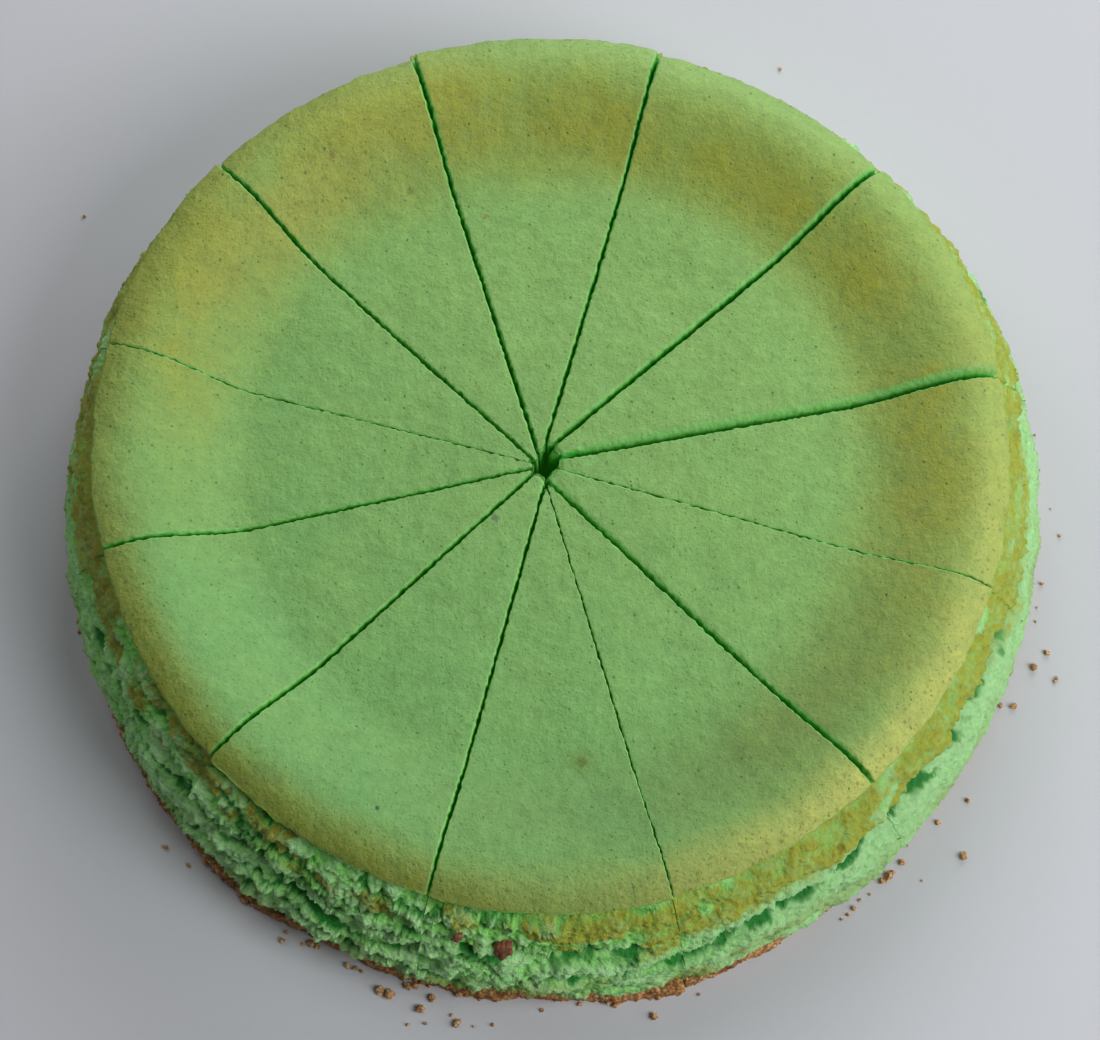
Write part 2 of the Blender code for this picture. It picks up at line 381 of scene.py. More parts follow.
    def noise(self, pattern: Pattern, azimuth: Array, height: Any = 0) -> Array:
        """Noise on the round wall, about -1 to 1, at azimuths in radians and heights in metres."""
        reach = self.bulge_radius / pattern.length
        azimuth, height = np.broadcast_arrays(azimuth, height)
        level = height / pattern.height
        places = np.stack([reach * np.cos(azimuth), reach * np.sin(azimuth), level], axis=-1)
        return noise_at(places, pattern.seed, pattern.grain, pattern.octaves)

    def uneven(self, radius: Array, azimuth: Array, lean: Any) -> Array:
        """A nominal radius as the uneven outline has it, where lean is 0 at the top and 1 at the foot."""
        lobes = self.two_lobes * np.cos(2 * azimuth) + self.three_lobes * np.sin(3 * azimuth)
        return radius * (1 + lobes) - self.foot_shift * lean * np.sin(azimuth)

    def top_height(self, radius: Array, azimuth: Array) -> Array:
        """Height of the top at a nominal radius."""
        rise = self.rim_rise + self.rim_rise_swing * np.cos(azimuth - self.rim_high_side)
        drop = self.edge_drop + self.edge_drop_swing * np.cos(azimuth - self.edge_drop_side)
        climb = smooth(self.climb_start, self.crest_radius, radius)
        past = np.maximum(0, (radius - self.crest_radius) / (self.skin_radius - self.crest_radius))
        return self.middle_height + rise * climb - drop * past**self.roll_power

    def crack_depth(self, azimuth: Array, height: Array) -> tuple[Array, Array, Array]:
        """How deep the long cracks are at places on the wall.

        Args:
            azimuth: in radians.
            height: in metres.

        Returns:
            The depth of their wide mouths, that of the thin fissures in them, and their painted shade.
        """
        wander = self.crack_wander * self.noise(self.crack_wander_grain, azimuth)
        flicker = self.fissure_wander * self.noise(self.fissure_grain, azimuth)
        pocks = smooth(self.pock_from, self.pock_to, self.noise(self.pock_grain, azimuth, height))
        mouth, fissure, dark = (np.zeros(np.shape(azimuth)) for _ in range(3))
        for crack in self.cracks:
            along = (np.degrees(azimuth) - crack.start) % 360
            left = crack.end - crack.start - along
            climb = np.clip(along / (crack.end - crack.start), 0, 1)
            middle = crack.start_height + (crack.end_height - crack.start_height) * climb + wander
            ends = smooth(0, self.crack_end, along) * smooth(0, self.crack_end, left)
            opened = np.where(left > 0, ends, 0)
            mouth = np.maximum(mouth, crack.depth * opened * hump(0, crack.reach, height - middle))
            aside = (height - middle - flicker) / (self.fissure_reach * rising(self.pock_widens, pocks))
            depth = self.fissure_depth * opened * hump(0, 1, aside)
            fissure = np.maximum(fissure, depth * rising(self.pock_deepens, pocks))
            shaded = hump(self.shade_centre, self.shade_reach, aside)
            dark = np.maximum(dark, opened * shaded * rising(self.pock_darkens, pocks))
        return mouth, fissure, dark

    @staticmethod
    def round_about(table: Sequence[tuple[float, float]], azimuth: Array) -> Array:
        """A value that is listed at some azimuths in degrees, and changes evenly between them."""
        degrees, values = zip(*table)
        return np.interp(np.degrees(azimuth), degrees, values, period=360)

    def roughness(self, azimuth: Array) -> Array:
        """How coarsely the wall is torn, 0 to 1: most at the front left and least at the right."""
        return self.least_torn + self.torn_front_left.at(azimuth) - self.whole_right.at(azimuth)


@dataclass
class WallRelief:
    """The torn wall of the filling, at the places of a grid."""

    form: CakeForm
    azimuth: Array
    share: Array
    # Weights of the painted shade in the wall's hollows, layer steps, cracks and under the skin's edge, and
    # of the painted highlight on crumbs that stand proud
    lump_shade: float = 0.5
    lump_shade_from: float = 0.2
    step_shade: float = 1.1
    step_shade_from: float = 0.72
    step_shade_full: float = 0.98
    mouth_shade: float = 0.35
    deepest_mouth: float = 0.0042
    fissure_shade: float = 1.45
    eave_shade: float = 0.5
    eave_shade_fall: float = 0.05
    most_shade: float = 1.5
    proud_start: float = 0.6
    proud_lumps: float = 1.5
    proud_sponge: float = 0.8
    height: Array = field(init=False)
    radius: Array = field(init=False)
    crevice_shade: Array = field(init=False)
    proud_highlight: Array = field(init=False)

    def __post_init__(self) -> None:
        """Works out the height, the radius, how deep in painted shade each place is, and the painted
        highlight on what stands proud.
        """
        form = self.form
        azimuth, share = self.azimuth, self.share
        fall = 1 - share
        edge = form.top_height(form.skin_radius, azimuth)
        self.height = form.foot_height + share * (edge - form.foot_height)
        flare = np.sin(np.minimum(1, fall / form.bulge_fall) * np.pi / 2)
        nominal = form.skin_radius + (form.bulge_radius - form.skin_radius) * flare
        nominal = nominal - form.undercut_depth * hump(form.undercut_fall, form.undercut_reach, fall)
        nominal = nominal - form.foot_tuck * smooth(form.bulge_fall, 1, fall)
        rough = form.roughness(azimuth)
        lumps = -form.noise(form.crumb_grain, azimuth, self.height)
        sponge = -form.noise(form.sponge_grain, azimuth, self.height)
        layers = form.noise(form.layer_grain, azimuth, self.height)
        level = self.height + form.layer_wander * layers + form.layer_torn * sponge
        step = (1 - level / form.layer_height) % 1
        uneven = form.crack_torn_by_crumb * lumps + form.crack_torn_by_sponge * sponge
        mouth, fissure, dark = form.crack_depth(azimuth, self.height + uneven)

        coarse = form.ledge_depth * form.noise(form.ledge_grain, azimuth, self.height)
        coarse = coarse + form.lump_depth * form.noise(form.lump_grain, azimuth, self.height)
        fine = form.sponge_depth * rising(form.sponge_on_tear, rough) * sponge
        fine = form.crumb_depth * rough * lumps + fine
        thin = fissure * rising(form.fissure_on_tear, rough)
        relief = coarse - mouth + fine - form.layer_depth * rough * step - thin
        ragged = form.edge_ragged * form.noise(form.edge_grain, azimuth)
        ragged = ragged + form.fine_ragged * form.noise(form.fine_ragged_grain, azimuth)
        eave = form.eave_depth * hump(form.undercut_fall, form.undercut_reach, fall)
        eave = eave * rising(form.eave_unevenness, form.noise(form.eave_grain, azimuth))
        torn = smooth(0, form.torn_below, fall)
        self.radius = form.uneven(nominal, azimuth, flare) + torn * relief + (1 - torn) * ragged - eave

        # Painted shade: darker in the hollows, under the layers' steps, in the cracks' mouths and fissures,
        # and under the skin's overhanging edge
        painted_shade = self.lump_shade * np.maximum(0, -lumps - self.lump_shade_from) * rough
        painted_shade = painted_shade + self.step_shade * rough * smooth(self.step_shade_from, self.step_shade_full, step)
        painted_shade = painted_shade + self.mouth_shade * mouth / self.deepest_mouth + self.fissure_shade * dark
        shade_under_edge = self.eave_shade * hump(self.eave_shade_fall, self.eave_shade_fall, fall)
        self.crevice_shade = np.clip(torn * painted_shade + shade_under_edge, 0, self.most_shade)
        # Painted highlight on the crumbs that stand proud, less where painted shade lies
        above = self.proud_start + self.proud_lumps * lumps + self.proud_sponge * sponge
        self.proud_highlight = np.clip(torn * rough * above - painted_shade, 0, 1)


class Wedge:
    """The plan of one slice between two cuts, whose faces lean apart as they go down."""

    def __init__(self, form: CakeForm, index: int) -> None:
        """Takes the slice after the cut of this index."""
        self.form = form
        self.first = form.cuts[index]
        self.second = form.cuts[(index + 1) % len(form.cuts)]
        self.stands_out = form.stands_out[index]
        self.broken_back = form.broken_back[index]
        self.start = math.radians(self.first.azimuth)
        self.turn = math.radians((self.second.azimuth - self.first.azimuth) % 360)

    def ray(self, across: Array) -> Array:
        """The way out along the slice, where across runs from 0 at its first cut to 1 at its second."""
        azimuth = self.start + across * self.turn
        return np.stack([np.cos(azimuth), np.sin(azimuth)], axis=-1)

    def point(self, height: Array) -> Array:
        """Where the planes of the two cut faces meet at each height."""
        form = self.form
        opened = height / form.middle_height
        first_gap = form.cut_foot_width + (self.first.width - form.cut_foot_width) * opened
        second_gap = form.cut_foot_width + (self.second.width - form.cut_foot_width) * opened
        first_offset = self.first.miss + first_gap / 2
        second_offset = self.second.miss - second_gap / 2
        along = (first_offset * math.cos(self.turn) - second_offset) / math.sin(self.turn)
        out = self.ray(np.array(0.0))
        left = np.array([-out[1], out[0]])
        return along[..., None] * out + first_offset[..., None] * left

    def on_circle(self, across: Array, radius: Array, height: Array) -> Array:
        """Place in plan on the ray at each radius from the middle of the cake."""
        point = self.point(height)
        ray = self.ray(across)
        lean = np.sum(point * ray, axis=-1)
        reach = np.sqrt(lean**2 - np.sum(point * point, axis=-1) + radius**2) - lean
        return point + reach[..., None] * ray

    def on_broken_face(self, across: Array, height: Array) -> Array:
        """Place in plan on the upright face that the missing point has left."""
        form = self.form
        point = self.point(height)
        ray = self.ray(across)
        middle = self.ray(np.array(0.5))
        missing = form.hole_radius + self.broken_back - (point - np.array(form.hole_middle)) @ middle
        back = np.maximum(form.least_broken, missing) / (ray @ middle)
        return point + back[..., None] * ray

    def azimuth(self, across: Array) -> Array:
        """Azimuth, round the middle of the cake, of each ray's place at the skin's edge."""
        height = np.full(np.shape(across), self.form.middle_height)
        place = self.on_circle(across, np.full(np.shape(across), self.form.skin_radius), height)
        return np.arctan2(place[..., 1], place[..., 0])


@dataclass
class MeshParts:
    """The vertices, faces, material slots and vertex masks of one piece, as they are added."""

    name: str
    materials: Sequence[bpy.types.Material]
    places: list[Array] = field(default_factory=list)
    faces: list[list[int]] = field(default_factory=list)
    slots: list[int] = field(default_factory=list)
    masks: dict[str, list[Array]] = field(default_factory=dict)
    count: int = 0

    def add_grid(self, places: Array, slots: Array, masks: Optional[Mapping[str, Array]] = None,
                 flipped: bool = False) -> Array:
        """Adds a grid of vertices, with a face between every four.

        Args:
            places: rows and columns of places.
            slots: material slot of each face.
            masks: named values at each vertex.
            flipped: turns the faces over.

        Returns:
            The index of each vertex.
        """
        index = self.count + np.arange(places[..., 0].size).reshape(places.shape[:2])
        corners = [index[:-1, :-1], index[:-1, 1:], index[1:, 1:], index[1:, :-1]]
        if flipped:
            corners.reverse()
        self.faces += np.stack(corners, axis=-1).reshape(-1, 4).tolist()
        self.slots += np.reshape(slots, -1).tolist()
        self.places.append(places.reshape(-1, 3))
        for name, values in (masks or {}).items():
            self.masks.setdefault(name, []).append(values.reshape(-1))
        self.count += index.size
        return index

    def add_faces(self, faces: list[list[int]], slots: list[int]) -> None:
        """Adds faces between vertices that are there already, with their slots."""
        self.faces += faces
        self.slots += slots

    def build(self) -> bpy.types.Object:
        """Makes the object, shaded smooth and linked to the scene."""
        mesh = bpy.data.meshes.new(self.name)
        mesh.from_pydata(np.concatenate(self.places).tolist(), [], self.faces)
        for material in self.materials:
            mesh.materials.append(material)
        mesh.polygons.foreach_set("material_index", np.array(self.slots, dtype=np.int32))
        for name, values in self.masks.items():
            layer = mesh.attributes.new(name, "FLOAT", "POINT")
            layer.data.foreach_set("value", np.concatenate(values).astype(np.float32))
        mesh.shade_smooth()
        made = bpy.data.objects.new(self.name, mesh)
        bpy.context.scene.collection.objects.link(made)
        return made


class Wire:
    """A socket that gives a value, whose operators add Math nodes to its material."""

    def __init__(self, kit: "NodeKit", socket: bpy.types.NodeSocket) -> None:
        self.kit = kit
        self.socket = socket

    def _math(self, operation: str, *values: "Number", clamp: bool = False) -> "Wire":
        """Adds one Math node."""
        settings = {"operation": operation, "use_clamp": clamp}
        return self.kit.add("ShaderNodeMath", settings, dict(enumerate(values)))

    def __add__(self, other: "Number") -> "Wire":
        """This value plus another."""
        return self._math("ADD", self, other)

    __radd__ = __add__

    def __mul__(self, other: "Number") -> "Wire":
        """This value times another."""
        return self._math("MULTIPLY", self, other)

    __rmul__ = __mul__

    def __sub__(self, other: "Number") -> "Wire":
        """This value less another."""
        return self._math("SUBTRACT", self, other)

    def __rsub__(self, other: "Number") -> "Wire":
        """Another value less this one."""
        return self._math("SUBTRACT", other, self)

    def __truediv__(self, other: "Number") -> "Wire":
        """This value over another."""
        return self._math("DIVIDE", self, other)

    def clamped(self) -> "Wire":
        """This value, held between 0 and 1."""
        return self._math("ADD", self, 0.0, clamp=True)

    def step(self, low: float, high: float) -> "Wire":
        """0 up to low, 1 from high, and a smooth step between them; high may be below low."""
        settings = {"interpolation_type": "SMOOTHSTEP"}
        if low < high:
            return self.kit.add("ShaderNodeMapRange", settings, {0: self, 1: low, 2: high})
        return 1 - self.kit.add("ShaderNodeMapRange", settings, {0: self, 1: high, 2: low})


Number = Union[Wire, float]


class NodeKit:
    """The nodes of one material, round its Principled shader."""

    def __init__(self, name: str) -> None:
        """Starts a material of this name."""
        self.material = bpy.data.materials.new(name)
        self.material.use_nodes = True
        self.tree = self.material.node_tree
        self.shader = self.tree.nodes["Principled BSDF"]
        self.coordinates = self.add("ShaderNodeTexCoord", output="Object")

    def add(self, kind: str, settings: Optional[Mapping[str, Any]] = None,
            values: Optional[Mapping[Any, Any]] = None, output: Union[int, str] = 0) -> Wire:
        """Adds one node.

        Args:
            kind: the node's type.
            settings: its own settings, such as a Math node's operation, which are set first.
            values: numbers, colours or wires for its sockets, by index or name.
            output: the socket that is given back.

        Returns:
            The chosen output.
        """
        node = self.tree.nodes.new(kind)
        for name, setting in (settings or {}).items():
            setattr(node, name, setting)
        for key, value in (values or {}).items():
            self.feed(node.inputs[key], value)
        return Wire(self, node.outputs[output])

    def feed(self, socket: bpy.types.NodeSocket, value: Any) -> None:
        """Links a wire to a socket, or sets the socket's own value."""
        if isinstance(value, Wire):
            self.tree.links.new(value.socket, socket)
        else:
            socket.default_value = value

    def set(self, **sockets: Any) -> None:
        """Feeds the shader's sockets, named in lower case with underscores."""
        for name, value in sockets.items():
            self.feed(self.shader.inputs[name.replace("_", " ").title().replace("Ior", "IOR")], value)

    def attribute(self, name: str) -> Wire:
        """A float that the mesh holds at every vertex."""
        return self.add("ShaderNodeAttribute", {"attribute_name": name}, output="Fac")

    def mix(self, share: Number, first: Any, second: Any) -> Wire:
        """The first colour where share is 0 and the second where it is 1."""
        values = {0: share, 6: first, 7: second}
        return self.add("ShaderNodeMix", {"data_type": "RGBA", "clamp_factor": True}, values, output=2)

    def shade(self, colour: Any, factor: Number) -> Wire:
        """A colour with its light scaled by a factor."""
        scaled = colour if isinstance(colour, Wire) else colour[:3]
        return self.add("ShaderNodeVectorMath", {"operation": "SCALE"}, {0: scaled, "Scale": factor})

    def noise(self, size: float, detail: float = 2.0, roughness: float = 0.5, seed: float = 0.0) -> Wire:
        """Soft noise from 0 to 1, whose patches are about this size in metres."""
        values = {"Vector": self._moved(seed), "Scale": 1 / size, "Detail": detail, "Roughness": roughness}
        return self.add("ShaderNodeTexNoise", values=values)

    def _moved(self, seed: float) -> Wire:
        """The object's own coordinates, moved by a seed, so that no two patterns coincide."""
        values = {0: self.coordinates, 1: (seed,) * 3}
        return self.add("ShaderNodeVectorMath", {"operation": "ADD"}, values)

    def cells(self, size: float, seed: float = 0.0, flat: bool = False) -> tuple[Wire, Wire]:
        """Distance to the nearest of many scattered points, and a random value for each point.

        Args:
            size: mean distance between points, in metres.
            seed: moves the points.
            flat: scatters them in plan alone.

        Returns:
            The distance as a share of size, and the random value from 0 to 1.
        """
        settings = {"voronoi_dimensions": "2D" if flat else "3D"}
        values = {"Vector": self._moved(seed), "Scale": 1 / size}
        distance = self.add("ShaderNodeTexVoronoi", settings, values)
        own_colour = Wire(self, distance.socket.node.outputs["Color"])
        return distance, self.add("ShaderNodeSeparateColor", values={0: own_colour})

    def bump(self, height: Number, distance: float, strength: float = 1.0) -> None:
        """Feeds the shader's normal with a relief whose height is a value times a distance in metres."""
        values = {"Height": height, "Distance": distance, "Strength": strength}
        self.set(normal=self.add("ShaderNodeBump", values=values))


@dataclass(frozen=True)
class Blemish:
    """A small mark on the skin: its middle in plan, its radius, its colour and how strong it is."""

    middle: tuple[float, float]
    radius: float
    colour: Colour
    strength: float


@dataclass(frozen=True)
class BakedSkin:
    """The smooth baked skin on top: green, finely pored and toasted by the heat in places, with painted
    shade on the rim's inner slope and a golden patch at the back left that is partly a painted sheen.
    """

    green: Colour = srgb(139, 182, 96)
    cool_green: Colour = srgb(117, 175, 98)
    olive: Colour = srgb(158, 166, 58)
    tan: Colour = srgb(132, 146, 49)
    gold: Colour = srgb(188, 197, 98)
    fresh: Colour = srgb(132, 198, 104)
    freckle: Colour = srgb(104, 96, 36)
    pore: Colour = srgb(44, 104, 36)
    roughness: float = 0.50
    specular: float = 0.4
    patch_size: float = 0.020
    cloud_size: float = 0.0065
    mottle_size: float = 0.0030
    grain_size: float = 0.0008
    freckle_spacing: float = 0.0017
    pore_spacing: float = 0.0015
    dot_spacing: float = 0.0052
    relief: float = 0.00032
    ragged_size: float = 0.0011
    blemishes: tuple[Blemish, ...] = (
        Blemish((0.0069, -0.0730), 0.0018, srgb(50, 92, 46), 0.8),
        Blemish((0.0069, -0.0730), 0.0042, srgb(118, 146, 58), 0.5),
        Blemish((-0.0144, -0.0101), 0.0016, srgb(92, 104, 84), 0.7),
        Blemish((-0.0424, -0.0860), 0.0008, srgb(40, 50, 20), 0.8),
        Blemish((-0.0368, 0.0780), 0.0012, srgb(120, 110, 40), 0.6),
        Blemish((-0.0566, 0.0842), 0.0011, srgb(126, 110, 50), 0.6),
        Blemish((-0.0172, 0.0716), 0.0008, srgb(158, 122, 44), 0.7),
        Blemish((0.0918, 0.0515), 0.0007, srgb(158, 122, 44), 0.7),
    )

    def material(self) -> bpy.types.Material:
        """Builds the material."""
        kit = NodeKit("baked_skin")
        toast, band = kit.attribute("toast"), kit.attribute("band")
        mottle = kit.noise(self.mottle_size, 5, 0.66)
        patch = kit.noise(self.patch_size, 3, 0.55, seed=3.0)
        grain = kit.noise(self.grain_size, 4, 0.70, seed=5.0)
        cloud = kit.noise(self.cloud_size, 3, 0.55, seed=9.0)
        cool = (kit.attribute("trend") + (patch - 0.5) * 0.7).clamped()
        colour = kit.mix(cool, self.green, self.cool_green)
        colour = kit.mix((toast + (mottle - 0.5) * 0.9 * toast).clamped(), colour, self.olive)
        # The tanned edge, and the painted sheen at the back left that the band carries, in colours between
        # tan and gold
        edge = kit.mix(kit.attribute("gold"), self.tan, self.gold)
        colour = kit.mix((band + (mottle - 0.5) * 0.8 * band).clamped(), colour, edge)
        freckles = self._specks(kit, self.freckle_spacing, 0.40, 11.0)
        colour = kit.mix(freckles * band * 0.45, colour, self.freckle)
        tone = 0.97 + (mottle - 0.5) * 0.50 + (cloud - 0.5) * 0.24 + (grain - 0.5) * 0.42
        # Painted shade on the rim's inner slope at the front and the front right, from the tone mask; the
        # rest is random tone
        colour = kit.shade(colour, tone * (1 - kit.attribute("tone") * 0.24))
        fine = self._specks(kit, self.pore_spacing, 0.26, 0.0) * 0.30
        pores = fine + self._specks(kit, self.dot_spacing, 0.088, 7.0) * 0.58
        colour = kit.mix(pores.clamped(), colour, self.pore)
        for mark in self.blemishes:
            colour = self._marked(kit, colour, mark)
        colour = kit.mix(kit.attribute("lip") * (1 - band * 0.8), colour, self.fresh)
        kit.set(base_color=colour, roughness=self.roughness, specular_ior_level=self.specular)
        dimples = mottle * (2.2 + band * 1.2) + cloud * 2.4
        kit.bump(grain * 0.7 + dimples - pores * 0.8, self.relief, 0.8)
        return kit.material

    @staticmethod
    def _specks(kit: NodeKit, spacing: float, reach: float, seed: float) -> Wire:
        """Small round pores of uneven size, at random over the top."""
        distance, random = kit.cells(spacing, seed, flat=True)
        return (1 - distance / (random * random * reach + 0.001)).step(0.0, 0.5)

    def _marked(self, kit: NodeKit, colour: Wire, mark: Blemish) -> Wire:
        """A colour with one blemish on it."""
        in_plan = {0: kit.coordinates, 1: (1, 1, 0)}
        flat = kit.add("ShaderNodeVectorMath", {"operation": "MULTIPLY"}, in_plan)
        ends = {0: flat, 1: (*mark.middle, 0.0)}
        away = kit.add("ShaderNodeVectorMath", {"operation": "DISTANCE"}, ends, output="Value")
        ragged = away + (kit.noise(self.ragged_size, 2) - 0.5) * mark.radius
        return kit.mix(ragged.step(mark.radius, mark.radius * 0.35) * mark.strength, colour, mark.colour)


@dataclass(frozen=True)
class TornCrumb:
    """The torn wall: moist green crumb with toasted rests of skin, with painted shade in its cracks and
    hollows and under the skin's edge, a painted highlight on crumbs that stand proud, and painted fill
    light where the tear is coarse.
    """

    pale: Colour = srgb(167, 221, 149)
    green: Colour = srgb(122, 214, 79)
    painted_shade: Colour = srgb(30, 132, 40)
    toasted: Colour = srgb(136, 138, 40)
    golden: Colour = srgb(160, 170, 50)
    brown: Colour = srgb(146, 106, 36)
    yellow_green: Colour = srgb(150, 160, 70)
    roughness: float = 0.60
    specular: float = 0.4
    coarse_size: float = 0.006
    blotch_size: float = 0.0040
    fine_size: float = 0.0014
    crumb_size: float = 0.0013
    relief: float = 0.0009

    def material(self) -> bpy.types.Material:
        """Builds the material."""
        kit = NodeKit("torn_crumb")
        crevice_shade, toast, band = kit.attribute("crevice_shade"), kit.attribute("toast"), kit.attribute("band")
        coarse = kit.noise(self.coarse_size, 4, 0.6)
        fine = kit.noise(self.fine_size, 4, 0.70, seed=2.0)
        blotch = kit.noise(self.blotch_size, 6, 0.72, seed=8.0)
        crumbs, _ = kit.cells(self.crumb_size, 4.0)
        # Paler crumb round the cake and lower down, and a painted highlight on the crumbs that stand proud,
        # both from the tone mask
        colour = kit.mix((kit.attribute("tone") + (coarse - 0.5) * 0.7).clamped(), self.green, self.pale)
        golden = (kit.attribute("gold") * 0.6 + coarse * 0.9).step(0.35, 0.85)
        toasted = kit.mix(golden, self.toasted, self.golden)
        toasted = kit.mix(blotch.step(0.56, 0.72) * 0.6, toasted, self.brown)
        broken = 0.62 + (blotch - 0.5) * 3.0 + (fine - 0.5) * 1.2
        colour = kit.mix((toast * (0.35 + broken)).clamped(), colour, toasted)
        colour = kit.mix((band + (fine - 0.5) * 1.4 * band).clamped(), colour, self.yellow_green)
        # Painted shade: darker green in the hollows, steps and cracks and under the skin's edge, less where
        # toast lies
        colour = kit.mix(crevice_shade.step(0.35, 1.2) * (1 - toast * 0.7), colour, self.painted_shade)
        # Painted fill light: lighter where the tear is coarse, most at the front left, which the lamps
        # leave in shade; the rest is random tone
        rough = kit.attribute("trend")
        colour = kit.shade(colour, 0.80 + rough * 0.45 + (fine - 0.5) * (0.45 + rough * 0.5))
        kit.set(base_color=colour, roughness=self.roughness, specular_ior_level=self.specular)
        height = fine * (0.35 + rough * 0.9) + coarse * 0.4 - crumbs * rough * 0.35
        kit.bump(height, self.relief)
        return kit.material


@dataclass(frozen=True)
class CutCrumb:
    """The cut faces: dense moist crumb, fresh green at the lips and darker deeper in as painted shade, with
    a faint painted glow for the light that soaks through it.
    """

    fresh: Colour = srgb(112, 188, 88)
    green: Colour = srgb(66, 172, 56)
    painted_shade: Colour = srgb(40, 150, 42)
    painted_glow: Colour = (0.09, 0.90, 0.01, 1.0)
    painted_glow_strength: float = 0.018
    roughness: float = 0.45
    grain_size: float = 0.0009
    relief: float = 0.0003

    def material(self) -> bpy.types.Material:
        """Builds the material."""
        kit = NodeKit("cut_crumb")
        # Painted shade: darker the deeper a place lies in the cut, and low on the broken tip
        depth = kit.attribute("crevice_shade")
        fine = kit.noise(self.grain_size, 3, 0.6)
        colour = kit.mix(depth.step(0.0, 0.45), self.fresh, self.green)
        colour = kit.mix(depth.step(0.4, 1.0), colour, self.painted_shade)
        kit.set(base_color=kit.shade(colour, 0.8 + fine * 0.4), roughness=self.roughness)
        # A faint painted glow that stands in for light soaking through the crumb
        kit.set(emission_color=self.painted_glow, emission_strength=self.painted_glow_strength)
        kit.bump(fine, self.relief, 0.8)
        return kit.material


@dataclass(frozen=True)
class BiscuitCrumb:
    """Pressed biscuit: brown grains, some paler and some nearly black."""

    brown: Colour = srgb(190, 134, 74)
    dark: Colour = srgb(124, 76, 38)
    pale: Colour = srgb(222, 180, 120)
    name: str = "biscuit_crumb"
    roughness: float = 0.85
    crumb_size: float = 0.0009
    blotch_size: float = 0.003
    relief: float = 0.0004

    def material(self) -> bpy.types.Material:
        """Builds the material."""
        kit = NodeKit(self.name)
        distance, random = kit.cells(self.crumb_size)
        blotch = kit.noise(self.blotch_size, 3, 0.6)
        colour = kit.mix(random.step(0.45, 0.95), self.brown, self.pale)
        colour = kit.mix(blotch.step(0.52, 0.7), colour, self.dark)
        colour = kit.mix(distance.step(0.35, 0.75) * 0.7, colour, self.dark)
        kit.set(base_color=colour, roughness=self.roughness)
        kit.bump(1 - distance, self.relief, 0.9)
        return kit.material


@dataclass(frozen=True)
class PaleFloor:
    """The plain pale floor."""

    colour: Colour = srgb(200, 202, 208)
    roughness: float = 0.7
    grain_size: float = 0.002

    def material(self) -> bpy.types.Material:
        """Builds the material."""
        kit = NodeKit("pale_floor")
        grain = kit.noise(self.grain_size, 3, 0.6)
        kit.set(base_color=kit.shade(self.colour, 0.985 + grain * 0.03), roughness=self.roughness)
        return kit.material


@dataclass(frozen=True)
class Finishes:
    """Every material of the cake, built once."""

    skin: bpy.types.Material
    torn: bpy.types.Material
    cut: bpy.types.Material
    biscuit: bpy.types.Material
    loose: bpy.types.Material
    stuck: bpy.types.Material

    @classmethod
    def build(cls) -> "Finishes":
        """Builds the materials."""
        loose = BiscuitCrumb(srgb(206, 158, 106), srgb(150, 100, 58), srgb(232, 200, 152), "loose_crumb")
        stuck = BiscuitCrumb(srgb(134, 82, 52), srgb(92, 50, 32), srgb(160, 108, 74), "stuck_crumb")
        return cls(BakedSkin().material(), TornCrumb().material(), CutCrumb().material(),
                   BiscuitCrumb().material(), loose.material(), stuck.material())


@dataclass
class Sheet:
    """One grid of the filling's surface before its lips are shaped."""

    across: Array
    out: Array
    fall: Array
    places: Array
    inward: Array
    masks: dict[str, Array]


